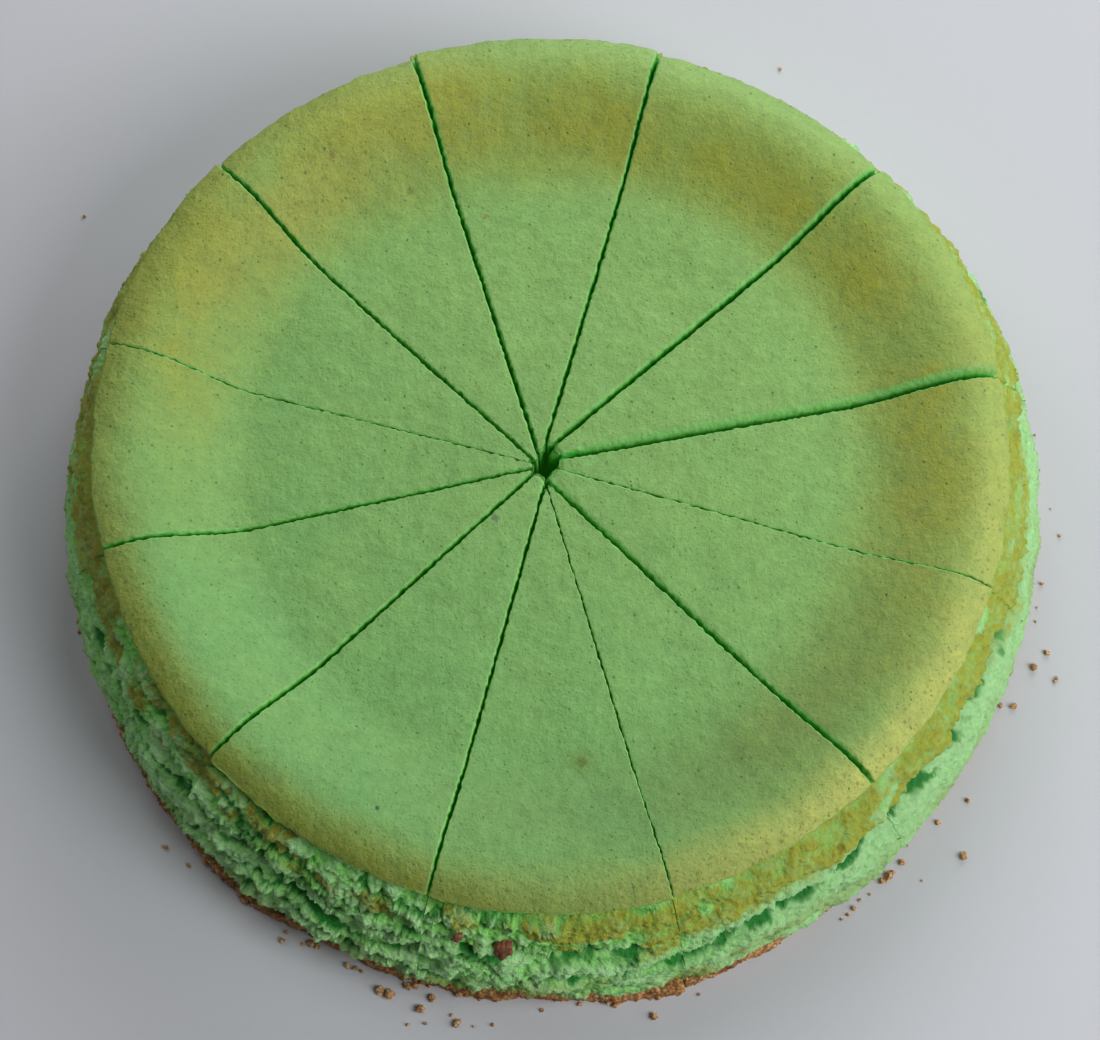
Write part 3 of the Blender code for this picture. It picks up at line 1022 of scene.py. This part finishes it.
@dataclass
class Filling:
    """One slice's filling: its broken tip and top, its torn wall, and its two cut faces.

    Two of its masks mean one thing on the skin and another on the wall: "tone" is the skin's painted shade
    and how pale the crumb is, with a painted highlight on proud crumbs, and "trend" is how cool the skin's
    green is and how coarse the tear, which also lightens the wall as painted fill light.
    """

    form: CakeForm
    number: int
    finishes: Finishes
    tip_rows: int = 16
    top_rows: int = 250
    wall_rows: int = 118
    top_segments: int = 30
    wall_per_top: int = 4
    lip_shares: tuple[float, ...] = (0.0, 0.06, 0.16, 0.32, 0.55, 0.85, 1.2)
    lip_ragged: float = 0.00034
    lip_tear_size: float = 0.0013
    full_tear_lip: float = 0.0003
    face_depths: tuple[float, ...] = (0.0006, 0.0014, 0.0026, 0.0050)
    least_face_depth: float = 0.0002
    face_share_of_room: float = 0.45
    closing_depth: float = 0.0022
    dark_depth: float = 0.0026
    nearly_closed: float = 0.00010
    shut_reach: float = 0.0025
    least_width_radius: float = 0.0022
    inner_share: float = 0.08
    tip_tear: float = 0.0004
    tip_tear_size: float = 0.0019
    tip_lean_start: tuple[float, float] = (0.25, 0.75)
    tip_lean_fall: float = 0.0045
    tip_wall: float = 0.0003
    tip_rounding: float = 0.0008
    tip_rounding_reach: float = 0.0016
    tip_shade: float = 0.6
    dent_depth: float = 0.0007
    dent_size: float = 0.030
    dimple_depth: float = 0.00022
    dimple_size: float = 0.0085

    def __post_init__(self) -> None:
        """Takes the slice's plan and the lips on either side of it."""
        self.wedge = Wedge(self.form, self.number - 1)
        lips = self.form.lips
        self.first_lips = lips[self.number - 1]
        self.second_lips = lips[self.number % len(lips)]

    def build(self) -> bpy.types.Object:
        """Builds the piece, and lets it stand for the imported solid.

        Returns:
            The finished object.
        """
        piece = MeshParts(f"slice_{self.number:02d}_filling",
                          (self.finishes.skin, self.finishes.torn, self.finishes.cut))
        top = self._finished(self._top(), 0, self.tip_rows)
        wall = self._finished(self._wall(), 1, 0)
        tops = piece.add_grid(*top, flipped=True)
        walls = piece.add_grid(*wall, flipped=True)
        self._join(piece, tops, walls)
        first_face = np.concatenate([tops[:, 0], walls[:, 0]]).tolist()[::-1]
        second_face = np.concatenate([tops[:, -1], walls[:, -1]]).tolist()
        underside = np.concatenate([tops[0], walls[-1][::-1]]).tolist()
        piece.add_faces([first_face, second_face, underside], [2, 2, 2])
        made = piece.build()
        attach(made, BODY)
        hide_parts(f"filling_{self.number:02d}")
        return made

    def _radii(self, out: Array, fall: Array) -> tuple[Array, Array]:
        """Radii of the two lips in each row, smaller down the wall and where the slice is narrow.

        Args:
            out: share of the way out to the skin's edge, for each row.
            fall: how far below the skin's edge each row lies, 0 to 1.

        Returns:
            The radius at the first cut and the radius at the second, as columns.
        """
        first, second = self.first_lips.after, self.second_lips.before
        squeeze = np.minimum(1, self._width(out) / (3.0 * (first + second)))
        keep = smooth(0.12, 0.0, fall)
        small = self.form.wall_lip
        first_radius, second_radius = (((lip - small) * keep + small) * squeeze for lip in (first, second))
        return first_radius[:, None], second_radius[:, None]

    def _across(self, out: Array, fall: Array, segments: int) -> Array:
        """Where each column crosses each row: close together on the lips, evenly spread between them.

        Args:
            out: share of the way out to the skin's edge, for each row.
            fall: how far below the skin's edge each row lies, 0 to 1.
            segments: number of columns between the lips, plus one.

        Returns:
            Shares from the first cut to the second, in rows and columns.
        """
        width = self._width(out)[:, None]
        radii = self._radii(out, fall)
        first, second = (np.array(self.lip_shares) * radius / width for radius in radii)
        inner = np.linspace(0, 1, segments + 1)[None, 1:-1]
        between = first[:, -1:] + inner * (1 - first[:, -1:] - second[:, -1:])
        return np.concatenate([first, between, 1 - second[:, ::-1]], axis=1)

    def _width(self, out: Array) -> Array:
        """Width of the slice at a share of the way out."""
        return self.wedge.turn * np.maximum(out * self.form.skin_radius, self.least_width_radius)

    def _top(self) -> Sheet:
        """The broken tip, from its foot up, and the baked top out to the skin's edge."""
        form, wedge, tip_rows = self.form, self.wedge, self.tip_rows
        tip_up = 1 - np.linspace(1, 0, tip_rows + 1)[:-1] ** 2
        reach = np.linspace(0, 1, self.top_rows + 1)
        out = np.concatenate([np.zeros(tip_rows), reach])
        across = self._across(out, np.zeros(out.shape), self.top_segments)
        spread = np.ones(across.shape)
        azimuth = wedge.azimuth(across)
        share = out[:, None] * spread
        rim = WallRelief(form, azimuth[-1:], spread[-1:])
        edge = rim.radius + wedge.stands_out
        height = form.top_height(form.skin_radius * share, azimuth) + self._dents(azimuth, share)
        height[:tip_rows] = form.foot_height + tip_up[:, None] * (form.middle_height - form.foot_height)
        plan = wedge.on_circle(across, np.maximum(share, self.inner_share) * edge, height)
        tip = self._leaning_tip(across, height)
        inner = np.clip(share / self.inner_share, 0, 1)[..., None]
        plan = tip[tip_rows] * (1 - inner) + plan * inner
        plan[:tip_rows + 1] = tip[:tip_rows + 1]
        from_tip = np.linalg.norm(plan - tip[tip_rows], axis=-1)[tip_rows:]
        height[tip_rows:] -= self.tip_rounding * np.clip(1 - from_tip / self.tip_rounding_reach, 0, 1) ** 2
        places = np.concatenate([plan, height[..., None]], axis=-1)
        masks = self._top_masks(azimuth, share)
        masks["crevice_shade"] = np.zeros(share.shape)
        # Painted shade on the lower part of the broken tip
        masks["crevice_shade"][:tip_rows] = (self.tip_shade * smooth(1.0, 0.55, tip_up))[:, None]
        turn = 0.5 * smooth(0, 0.030, out) + 0.5 * smooth(0, tip_rows, np.arange(len(out)))
        turn = turn + 0.5 * smooth(0.965, 1.0, out)
        return Sheet(across, out, np.zeros(out.shape), places, self._inward(turn, across), masks)

    def _leaning_tip(self, across: Array, height: Array) -> Array:
        """Places in plan on the broken tip, which reaches nearer to the middle as it goes down."""
        form, wedge = self.form, self.wedge
        tip = wedge.on_broken_face(across, height)
        rows = slice(self.tip_rows + 1)
        fallen = np.maximum(0, form.middle_height - height[rows])
        places = np.concatenate([tip, height[..., None]], axis=-1)[rows]
        torn = noise_at(places / self.tip_tear_size, 3.0 * self.number, Grain.SOFT, 2)
        leaning = rising(self.tip_lean_start, smooth(0, self.tip_lean_fall, fallen))
        lean = form.tip_nearer + form.tips_lean[self.number - 1] * leaning + self.tip_tear * torn
        spare = np.linalg.norm(tip[rows] - wedge.point(height[rows]), axis=-1) - self.tip_wall
        tip[rows] -= wedge.ray(across[rows]) * np.minimum(lean, np.maximum(0, spare))[..., None]
        return tip

    def _wall(self) -> Sheet:
        """The torn wall, from just under the skin's edge down to its foot."""
        share = np.linspace(1, 0, self.wall_rows + 1)[1:]
        out = np.ones(self.wall_rows)
        fall = 1 - share
        across = self._across(out, fall, self.top_segments * self.wall_per_top)
        azimuth = self.wedge.azimuth(across)
        wall = WallRelief(self.form, azimuth, share[:, None] * np.ones(across.shape))
        plan = self.wedge.on_circle(across, wall.radius + self.wedge.stands_out, wall.height)
        places = np.concatenate([plan, wall.height[..., None]], axis=-1)
        masks = self._wall_masks(azimuth, wall)
        turn = 1.5 + 0.5 * smooth(0, 0.12, fall)
        return Sheet(across, out, fall, places, self._inward(turn, across), masks)

    def _dents(self, azimuth: Array, share: Array) -> Array:
        """Shallow unevenness of the baked top."""
        plan = self._plan(azimuth, share * self.form.skin_radius)
        dents = self.dent_depth * noise_at(plan / self.dent_size, 4.0)
        return dents + self.dimple_depth * noise_at(plan / self.dimple_size, 6.0)

    @staticmethod
    def _plan(azimuth: Array, radius: Array) -> Array:
        """Places in plan at an azimuth and a radius."""
        flat = np.zeros(radius.shape)
        return np.stack([radius * np.cos(azimuth), radius * np.sin(azimuth), flat], axis=-1)

    def _inward(self, turn: Array, across: Array) -> Array:
        """Unit vectors into the slice, square to its surface and within the planes of its cuts.

        Args:
            turn: for each row 0 on the tip, 1 on the top and 2 on the wall, blended at the corners.
            across: where each column crosses each row.

        Returns:
            One vector for each place.
        """
        ray = self.wedge.ray(across)
        out = np.concatenate([ray, np.zeros((*across.shape, 1))], axis=-1)
        down = np.zeros(out.shape)
        down[..., 2] = -1
        on_tip = np.clip(1 - turn, 0, 1)[:, None, None]
        on_wall = np.clip(turn - 1, 0, 1)[:, None, None]
        chosen = out * on_tip + down * (1 - on_tip - on_wall) + (down * 0.3 - out) * on_wall
        return chosen / np.linalg.norm(chosen, axis=-1, keepdims=True)

    def _finished(self, sheet: Sheet, slot: int, corner: int) -> tuple[Array, Array, dict[str, Array]]:
        """Rounds and tears the lips of a sheet, and adds the strips that go down into its cuts.

        Args:
            sheet: the grid.
            slot: the material slot of its faces.
            corner: the row at which the sheet turns a sharp corner, or 0.

        Returns:
            The places, the slots and the masks of the wider grid.
        """
        form, wedge = self.form, self.wedge
        width = self._width(sheet.out)[:, None]
        radii = self._radii(sheet.out, sheet.fall)
        from_first, from_second = sheet.across * width, (1 - sheet.across) * width
        on_first = from_first < from_second
        near = np.where(on_first, from_first, from_second)
        lip = np.where(on_first, *radii)
        sunk = lip * (1 - np.sqrt(1 - np.clip(1 - near / lip, 0, 1) ** 2))
        places = sheet.places + sheet.inward * sunk[..., None]

        aside = wedge.start + np.where(on_first, 0, wedge.turn)
        side = np.where(on_first, 1.0, -1.0)
        into = np.stack([-side * np.sin(aside), side * np.cos(aside), np.zeros(aside.shape)], axis=-1)
        tear = noise_at(places / self.lip_tear_size, 11.0 + self.number, Grain.SOFT, 3)
        pull = self.lip_ragged * smooth(2.2, 0.2, near / lip) * np.maximum(-0.5, tear + 0.15)
        on_wall = smooth(0.0, 0.10, sheet.fall)[:, None]
        pull = pull * np.minimum(1, lip / self.full_tear_lip) * (1 - on_wall)
        gaps = (self._half_gap(cut, places[..., 2]) for cut in (wedge.first, wedge.second))
        half_gap = np.where(on_first, *gaps)
        top_shut = np.where(on_first, self.first_lips.shut, self.second_lips.shut)
        wall_shut = np.where(on_first, self.first_lips.wall_shut, self.second_lips.wall_shut)
        shut = top_shut + (wall_shut - top_shut) * on_wall
        moved = half_gap * shut * smooth(self.shut_reach, 0, near)
        places = places + into * (pull - moved)[..., None]
        sheet.masks["lip"] = smooth(0.95, 0.35, near / lip) * (1 - on_wall)

        open_gap = (half_gap * (1 - shut))[..., None]
        room = self._room(places, corner)
        before, after, depths = [], [], []
        for depth in self.face_depths:
            deepest = self.least_face_depth + self.face_share_of_room * room
            held = np.minimum(depth, deepest)[:, None, None]
            closing = min(1.0, depth / self.closing_depth) ** 0.8
            for column, strips in ((slice(0, 1), before), (slice(-1, None), after)):
                nearer = np.maximum(0, open_gap[:, column] - self.nearly_closed) * closing
                strips.append(places[:, column] + sheet.inward[:, column] * held - into[:, column] * nearer)
            # Painted shade on each strip down into the cut, full from dark_depth down
            depths.append(0.2 + 0.8 * min(1.0, depth / self.dark_depth))
        places = np.concatenate([*before[::-1], places, *after], axis=1)
        places[..., :2] -= np.array(form.box_middle)

        count = len(self.face_depths)
        spread = [(0, 0), (count, count)]
        masks = {name: np.pad(values, spread, mode="edge") for name, values in sheet.masks.items()}
        for step, depth in enumerate(depths):
            masks["crevice_shade"][:, count - 1 - step] = depth
            masks["crevice_shade"][:, places.shape[1] - count + step] = depth
        slots = np.full((places.shape[0] - 1, places.shape[1] - 1), slot)
        slots[:, :count] = 2
        slots[:, slots.shape[1] - count:] = 2
        slots[:corner] = 2
        return places, slots, masks

    def _half_gap(self, cut: Cut, height: Array) -> Array:
        """Half of how wide a cut gapes at each height."""
        form = self.form
        return (form.cut_foot_width + (cut.width - form.cut_foot_width) * height / form.middle_height) / 2

    @staticmethod
    def _room(places: Array, corner: int) -> Array:
        """Distance of each row to the nearest of its sheet's ends and its corner."""
        steps = np.linalg.norm(np.diff(places[:, 0], axis=0), axis=1)
        along = np.concatenate([[0], np.cumsum(steps)])
        return np.min([along, along[-1] - along, np.abs(along - along[corner])], axis=0)

    def _join(self, piece: MeshParts, tops: Array, walls: Array) -> None:
        """Joins the skin's edge to the first row of the wall, which has more columns."""
        strips = len(self.face_depths)
        kept = strips + len(self.lip_shares)
        middle = kept - 1 + self.wall_per_top * np.arange(1, self.top_segments)
        tail = walls.shape[1] - kept + np.arange(kept)
        matching = np.concatenate([np.arange(kept), middle, tail])
        faces, slots = [], []
        for column in range(tops.shape[1] - 1):
            low, high = matching[column], matching[column + 1]
            upper = [int(tops[-1, column + 1]), int(tops[-1, column])]
            faces.append([*upper, *walls[0, low:high + 1].tolist()])
            on_face = high < strips + 1 or low >= walls.shape[1] - strips - 1
            slots.append(2 if on_face else 1)
        piece.add_faces(faces, slots)

    def _top_masks(self, azimuth: Array, share: Array) -> dict[str, Array]:
        """Where the skin is toasted, tanned along its edge and golden, where a painted sheen lies and where
        painted shade darkens it.
        """
        form = self.form
        radius = share * form.skin_radius
        plan = self._plan(azimuth, radius)
        cloud = noise_at(plan / 0.022, 9.0, Grain.SOFT, 2)
        streak = noise_at(plan / 0.007, 13.0, Grain.SOFT, 2)
        narrow, wide = form.toast_narrow.at(azimuth), form.toast_wide.at(azimuth)
        middle = form.toast_ring + form.toast_wide_shift * wide - form.toast_narrow_shift * narrow
        ring = hump(middle, form.toast_ring_reach - form.toast_narrowing * narrow, radius)
        toast = form.round_about(form.toast_round, azimuth) * ring * (0.85 + 0.45 * cloud + 0.2 * streak)
        # Painted sheen: the pale golden patch at the back left, part toast and part painted highlight
        painted_sheen = hump(form.sheen_ring, form.sheen_reach, radius) * form.painted_sheen.at(azimuth)
        painted_sheen = painted_sheen * (0.85 + 0.5 * cloud)
        wandering = radius + 0.0016 * cloud + 0.0008 * streak
        band = smooth(form.band_start, form.band_full, wandering)
        band = band * form.round_about(form.band_round, azimuth)
        gold = form.round_about(form.gold_round, azimuth) * (1 - painted_sheen) + form.sheen_gold * painted_sheen
        # Painted shade on the rim's inner slope
        shade = hump(form.shade_ring, form.shade_ring_reach, radius)
        shade = shade * form.round_about(form.shade_round, azimuth)
        # The band carries the painted sheen as well as the tanned edge; tone carries the painted shade
        return {
            "toast": np.clip(toast, 0, 1),
            "band": np.clip(np.maximum(band, painted_sheen), 0, 1),
            "gold": np.clip(gold, 0, 1),
            "tone": np.clip(shade, 0, 1.2),
            "trend": 0.45 - 4.5 * (plan[..., 0] * 0.5 + plan[..., 1] * 0.87),
        }

    def _wall_masks(self, azimuth: Array, wall: WallRelief) -> dict[str, Array]:
        """Where the wall keeps toasted rests of skin, where it is yellowed, where it is pale, and where a
        painted highlight lies on crumbs that stand proud.
        """
        form = self.form
        open_crumb = np.clip(1.15 + form.closed_side.at(azimuth) - wall.crevice_shade, 0, 1)
        patches = form.noise(form.toast_patches, azimuth, wall.height)
        lowest = form.round_about(form.toast_floor, azimuth)
        cover = form.round_about(form.toast_cover, azimuth)
        edge = form.top_height(np.full(azimuth.shape, form.skin_radius), azimuth)
        high = smooth(-0.0018, 0.0022, wall.height - lowest + form.toast_patch_height * patches)
        green_edge = form.round_about(form.green_edge, azimuth)
        below = edge - wall.height + 1.3 * green_edge * patches
        high = high * smooth(0.2 * green_edge, green_edge, below)
        toast = high * smooth(0.25 - 1.1 * cover, 0.45 - 0.75 * cover, patches) * open_crumb
        low = smooth(-0.40, 0.12, form.noise(form.foot_patches, azimuth, wall.height))
        band = smooth(form.foot_yellow_end, form.foot_yellow_full, wall.height) * low * open_crumb
        band = band * form.round_about(form.foot_yellow, azimuth)
        paling = 0.5 + 0.5 * smooth(form.pale_half, form.pale_full, wall.height)
        # Paler crumb round the cake and lower down, plus the painted highlight on crumbs that stand proud
        pale = form.round_about(form.pale_round, azimuth) * paling + wall.proud_highlight
        return {
            "toast": np.clip(toast, 0, 1),
            "band": np.clip(band, 0, 1),
            "gold": np.clip(form.round_about(form.gold_round, azimuth), 0, 1),
            "tone": np.clip(pale, 0, 1),
            "trend": form.roughness(azimuth),
            "crevice_shade": wall.crevice_shade,
        }


@dataclass
class Biscuit:
    """One slice's wedge of pressed biscuit, whose outer edge is crumbly."""

    form: CakeForm
    number: int
    finishes: Finishes
    columns: int = 130
    rows: int = 13
    crumb_depth: float = 0.0007
    crumbs: Pattern = Pattern(0.0019, 0.0019, 4.4, Grain.LUMPS, 2)

    def build(self) -> bpy.types.Object:
        """Builds the piece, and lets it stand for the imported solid.

        Returns:
            The finished object.
        """
        form = self.form
        wedge = Wedge(form, self.number - 1)
        across = np.repeat(np.linspace(0, 1, self.columns + 1)[None, :], self.rows + 1, axis=0)
        share = np.repeat(np.linspace(0, 1, self.rows + 1)[:, None], self.columns + 1, axis=1)
        azimuth = wedge.azimuth(across)
        height = share * form.biscuit_thickness
        ragged = form.biscuit_ragged * form.noise(form.biscuit_grain, azimuth, height)
        crumbs = -form.noise(self.crumbs, azimuth, height) * self.crumb_depth
        radius = form.uneven(np.full(across.shape, form.biscuit_radius), azimuth, 1) + ragged + crumbs
        radius = radius + wedge.stands_out + form.round_about(form.biscuit_swell, azimuth)
        plan = wedge.on_circle(across, radius, height)
        places = np.concatenate([plan, height[..., None]], axis=-1)
        foot = self._point_row(wedge, 0.0)
        top = self._point_row(wedge, form.biscuit_thickness)
        places = np.concatenate([foot[None], places, top[None]])
        places[..., :2] -= np.array(form.box_middle)
        return self._mesh(places)

    def _point_row(self, wedge: Wedge, height: float) -> Array:
        """A row of places along the broken point at a height."""
        corners = wedge.on_broken_face(np.array([0.0, 1.0]), np.full(2, height))
        share = np.linspace(0, 1, self.columns + 1)[:, None]
        plan = corners[0] * (1 - share) + corners[1] * share
        return np.concatenate([plan, np.full((len(plan), 1), height)], axis=-1)

    def _mesh(self, places: Array) -> bpy.types.Object:
        """Makes the object, closed by its broken point and its two cut faces."""
        wedge = MeshParts(f"slice_{self.number:02d}_biscuit", (self.finishes.biscuit,))
        rows, columns = places.shape[:2]
        index = wedge.add_grid(places, np.zeros((rows - 1, columns - 1), dtype=int))
        first_face = index[:, 0].tolist()
        second_face = index[:, -1].tolist()[::-1]
        broken = index[0].tolist()[::-1] + index[-1].tolist()
        wedge.add_faces([first_face, second_face, broken], [0, 0, 0])
        piece = wedge.build()
        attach(piece, BODY)
        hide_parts(f"biscuit_{self.number:02d}")
        return piece


class Crumb(NamedTuple):
    """A loose crumb on the floor: where it lies and its radius, in millimetres."""

    x: float
    y: float
    radius: float


class StuckBit(NamedTuple):
    """A bit of biscuit that sticks to the wall: azimuth in degrees, height and radii in metres."""

    azimuth: float
    height: float
    wide: float
    high: float


@dataclass
class Crumbs:
    """Bits of biscuit that have fallen off: loose ones round the foot, and two stuck to the wall."""

    form: CakeForm
    finishes: Finishes
    unevenness: float = 0.5
    largest_share: float = 0.88
    middle_share: float = 0.62
    flatness: float = 0.75
    narrowest: float = 0.75
    widening: float = 0.06
    widths: int = 7
    wall_beyond_skin: float = 0.0050
    wall_lean: float = 0.6
    stuck: tuple[StuckBit, ...] = (
        StuckBit(-95.5, 0.0315, 0.0027, 0.0021),
        StuckBit(-100.8, 0.0353, 0.0014, 0.0009),
    )
    loose: tuple[Crumb, ...] = tuple(Crumb(*numbers) for numbers in (
        (-98.3, -85.2, 0.75), (-92.3, -89.8, 0.62), (-68.1, -109.1, 0.87), (-67.1, -107.0, 0.5),
        (-62.8, -110.1, 0.5), (-30.3, -123.7, 1.0), (-33.2, -126.5, 1.0), (-24.0, -130.0, 1.24),
        (-36.2, -130.3, 0.5), (-31.9, -130.0, 0.5), (-25.2, -128.0, 0.5), (-43.3, -121.7, 1.24),
        (-40.8, -122.7, 1.24), (-36.3, -120.7, 1.0), (-34.5, -120.5, 1.0), (-31.0, -120.5, 0.62),
        (-23.3, -122.5, 1.24), (-21.5, -122.7, 1.0), (-15.0, -130.3, 0.5), (-19.7, -130.8, 0.37),
        (-2.8, -126.7, 0.5), (6.7, -125.2, 0.75), (26.2, -123.5, 0.87), (25.2, -128.3, 1.0),
        (36.5, -122.7, 0.45), (14.0, -124.2, 1.24), (15.7, -125.2, 1.0), (29.5, -120.7, 0.75),
        (84.9, -92.7, 1.24), (83.3, -94.0, 1.0), (85.9, -91.7, 0.75), (88.3, -89.1, 0.8),
        (89.7, -84.7, 0.37), (97.8, -78.7, 0.75), (104.0, -87.5, 1.0), (105.6, -73.0, 0.75),
        (75.8, -100.9, 0.8), (77.4, -98.8, 0.5), (74.3, -102.4, 0.5), (72.7, -103.7, 0.4),
        (79.9, -97.3, 0.37), (93.2, -93.7, 0.3), (127.0, -15.1, 0.6), (127.5, -33.8, 0.87),
        (124.0, -37.8, 1.09), (129.7, -40.7, 0.55), (129.2, -41.5, 0.45), (115.0, -47.9, 0.65),
        (118.4, -48.2, 0.87), (130.3, 5.4, 0.3), (132.3, -2.0, 0.55), (125.0, -25.4, 0.37),
        (127.1, 26.0, 0.3), (125.5, -21.6, 0.3), (127.9, 16.2, 0.25), (-77.7, -98.8, 1.24),
        (-75.1, -100.1, 1.24), (-73.3, -100.9, 1.0), (-71.8, -101.9, 0.75), (-76.5, -97.0, 1.0),
        (-60.8, -109.8, 1.0), (-59.3, -110.6, 0.75), (-51.6, -115.4, 0.75), (-49.6, -116.2, 0.75),
        (-47.9, -116.9, 0.62), (-79.0, -97.6, 0.75), (-88.1, -89.1, 0.75), (-86.0, -91.1, 0.62),
        (-83.6, -93.2, 0.5), (-122.3, -27.9, 0.75), (-122.9, -25.7, 0.75), (62.1, 132.3, 0.5),
        (-126.3, 88.7, 0.5),
    ))

    def build(self) -> bpy.types.Object:
        """Builds every bit as one piece.

        Returns:
            The finished object.
        """
        shapes = bmesh.new()
        for index, crumb in enumerate(self.loose):
            radius = self.largest_share * crumb.radius * MM
            middle = Vector((crumb.x * MM, crumb.y * MM, self.middle_share * radius))
            width = radius * (self.narrowest + self.widening * (index % self.widths))
            self._bit(shapes, middle, (radius, width, radius * self.flatness), index)
        wall_radius = np.array([self.form.skin_radius + self.wall_beyond_skin])
        for index, bit in enumerate(self.stuck):
            azimuth = np.array([math.radians(bit.azimuth)])
            radius = float(self.form.uneven(wall_radius, azimuth, self.wall_lean)[0])
            middle = Vector((radius * math.cos(azimuth[0]), radius * math.sin(azimuth[0]), bit.height))
            middle -= Vector((*self.form.box_middle, 0.0))
            self._bit(shapes, middle, (bit.wide, bit.high, bit.high), 100 + index, 1)
        mesh = bpy.data.meshes.new("biscuit_crumbs")
        shapes.to_mesh(mesh)
        shapes.free()
        mesh.materials.append(self.finishes.loose)
        mesh.materials.append(self.finishes.stuck)
        mesh.shade_smooth()
        made = bpy.data.objects.new("biscuit_crumbs", mesh)
        bpy.context.scene.collection.objects.link(made)
        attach(made, BODY)
        return made

    def _bit(self, shapes: bmesh.types.BMesh, middle: Vector, radii: tuple[float, float, float],
             seed: int, material: int = 0) -> None:
        """Adds one uneven lump.

        Args:
            shapes: the mesh that it goes into.
            middle: its middle.
            radii: its half sizes.
            seed: gives it its own shape and turn.
            material: which of the mesh's materials it has.
        """
        made = bmesh.ops.create_icosphere(shapes, subdivisions=3, radius=1.0)
        turn = Matrix.Rotation(2.4 * seed, 3, "Z")
        for vertex in made["verts"]:
            place = vertex.co.copy()
            moved = place * 1.1 + Vector((3.7 * seed, 1.3 * seed, 0.0))
            swell = 1 - self.unevenness * noise.fractal(moved, 1.0, 2.0, 3, noise_basis=Grain.LUMPS.value)
            vertex.co = turn @ Vector([part * size * swell for part, size in zip(place, radii)]) + middle
        for face in {face for vertex in made["verts"] for face in vertex.link_faces}:
            face.material_index = material
        sunk = max(0.0, -min(vertex.co.z for vertex in made["verts"]))
        bmesh.ops.translate(shapes, verts=made["verts"], vec=(0.0, 0.0, sunk))


@dataclass(frozen=True)
class SoftLight:
    """A square soft light: its direction in degrees, distance and side in metres, and power in watts."""

    name: str
    azimuth: float
    elevation: float
    distance: float
    size: float
    power: float


@dataclass
class Studio:
    """The pale floor, the soft lights and the camera."""

    form: CakeForm
    elevation: float = 71.6
    distance: float = 0.8556
    aim: tuple[float, float, float] = (-0.0005, -0.0158, 0.0428)
    lens: float = 112.65
    floor_size: float = 6.0
    fill: float = 0.02
    window: tuple[SoftLight, ...] = (
        SoftLight("window_back", 80, 28, 0.9, 0.5, 3.2),
        SoftLight("window_right", 50, 28, 0.9, 0.5, 1.9),
        SoftLight("window_front", -20, 28, 0.9, 0.5, 2.3),
        SoftLight("window_top", -30, 50, 1.0, 0.5, 4.5),
        SoftLight("room_back", 138, 50, 1.0, 0.5, 1.7),
        SoftLight("room_left", -155, 17, 0.9, 0.5, 0.30),
    )

    def build(self) -> None:
        """Builds the floor, the lights and the camera."""
        bpy.context.scene.view_settings.view_transform = "Standard"
        self._floor()
        self._lights()
        self._camera()

    def _floor(self) -> None:
        """A wide flat floor, just under the cake."""
        mesh = bpy.data.meshes.new("floor")
        grid = bmesh.new()
        bmesh.ops.create_grid(grid, x_segments=2, y_segments=2, size=self.floor_size / 2)
        grid.to_mesh(mesh)
        grid.free()
        mesh.materials.append(PaleFloor().material())
        floor = bpy.data.objects.new("floor", mesh)
        bpy.context.scene.collection.objects.link(floor)

    def _lights(self) -> None:
        """Daylight from a wide window on the right, as a few soft lights, and a weak even fill."""
        for light in self.window:
            self._area(light)
        world = bpy.data.worlds.new("room")
        bpy.context.scene.world = world
        world.use_nodes = True
        background = world.node_tree.nodes["Background"]
        background.inputs["Color"].default_value = (0.90, 0.94, 1.0, 1.0)
        background.inputs["Strength"].default_value = self.fill

    def _area(self, soft: SoftLight) -> None:
        """One square soft light that faces the cake."""
        azimuth, elevation = math.radians(soft.azimuth), math.radians(soft.elevation)
        level = math.cos(elevation)
        way = Vector((level * math.cos(azimuth), level * math.sin(azimuth), math.sin(elevation)))
        light = bpy.data.lights.new(soft.name, "AREA")
        light.shape = "SQUARE"
        light.size = soft.size
        light.energy = soft.power
        lamp = bpy.data.objects.new(soft.name, light)
        lamp.location = way * soft.distance
        lamp.rotation_euler = way.to_track_quat("Z", "Y").to_euler()
        bpy.context.scene.collection.objects.link(lamp)

    def _camera(self) -> None:
        """The camera, steeply above the front of the cake."""
        shift = Vector((*self.form.box_middle, 0.0))
        tilt = math.radians(90 - self.elevation)
        back = Vector((0, -math.sin(tilt), math.cos(tilt)))
        data = bpy.data.cameras.new("camera")
        data.lens = self.lens
        data.sensor_width = 36.0
        camera = bpy.data.objects.new("camera", data)
        camera.location = Vector(self.aim) - shift + back * self.distance
        camera.rotation_euler = (tilt, 0, 0)
        bpy.context.scene.collection.objects.link(camera)
        bpy.context.scene.camera = camera


def main() -> None:
    """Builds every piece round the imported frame."""
    logging.basicConfig(level=logging.INFO, format="%(name)s: %(message)s")
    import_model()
    form = CakeForm()
    Studio(form).build()
    finishes = Finishes.build()
    for number in range(1, len(form.cuts) + 1):
        for piece in (Filling(form, number, finishes).build(), Biscuit(form, number, finishes).build()):
            LOG.info("%s: %d faces", piece.name, len(piece.data.polygons))
    crumbs = Crumbs(form, finishes).build()
    LOG.info("%s: %d faces", crumbs.name, len(crumbs.data.polygons))


if __name__ == "__main__":
    main()
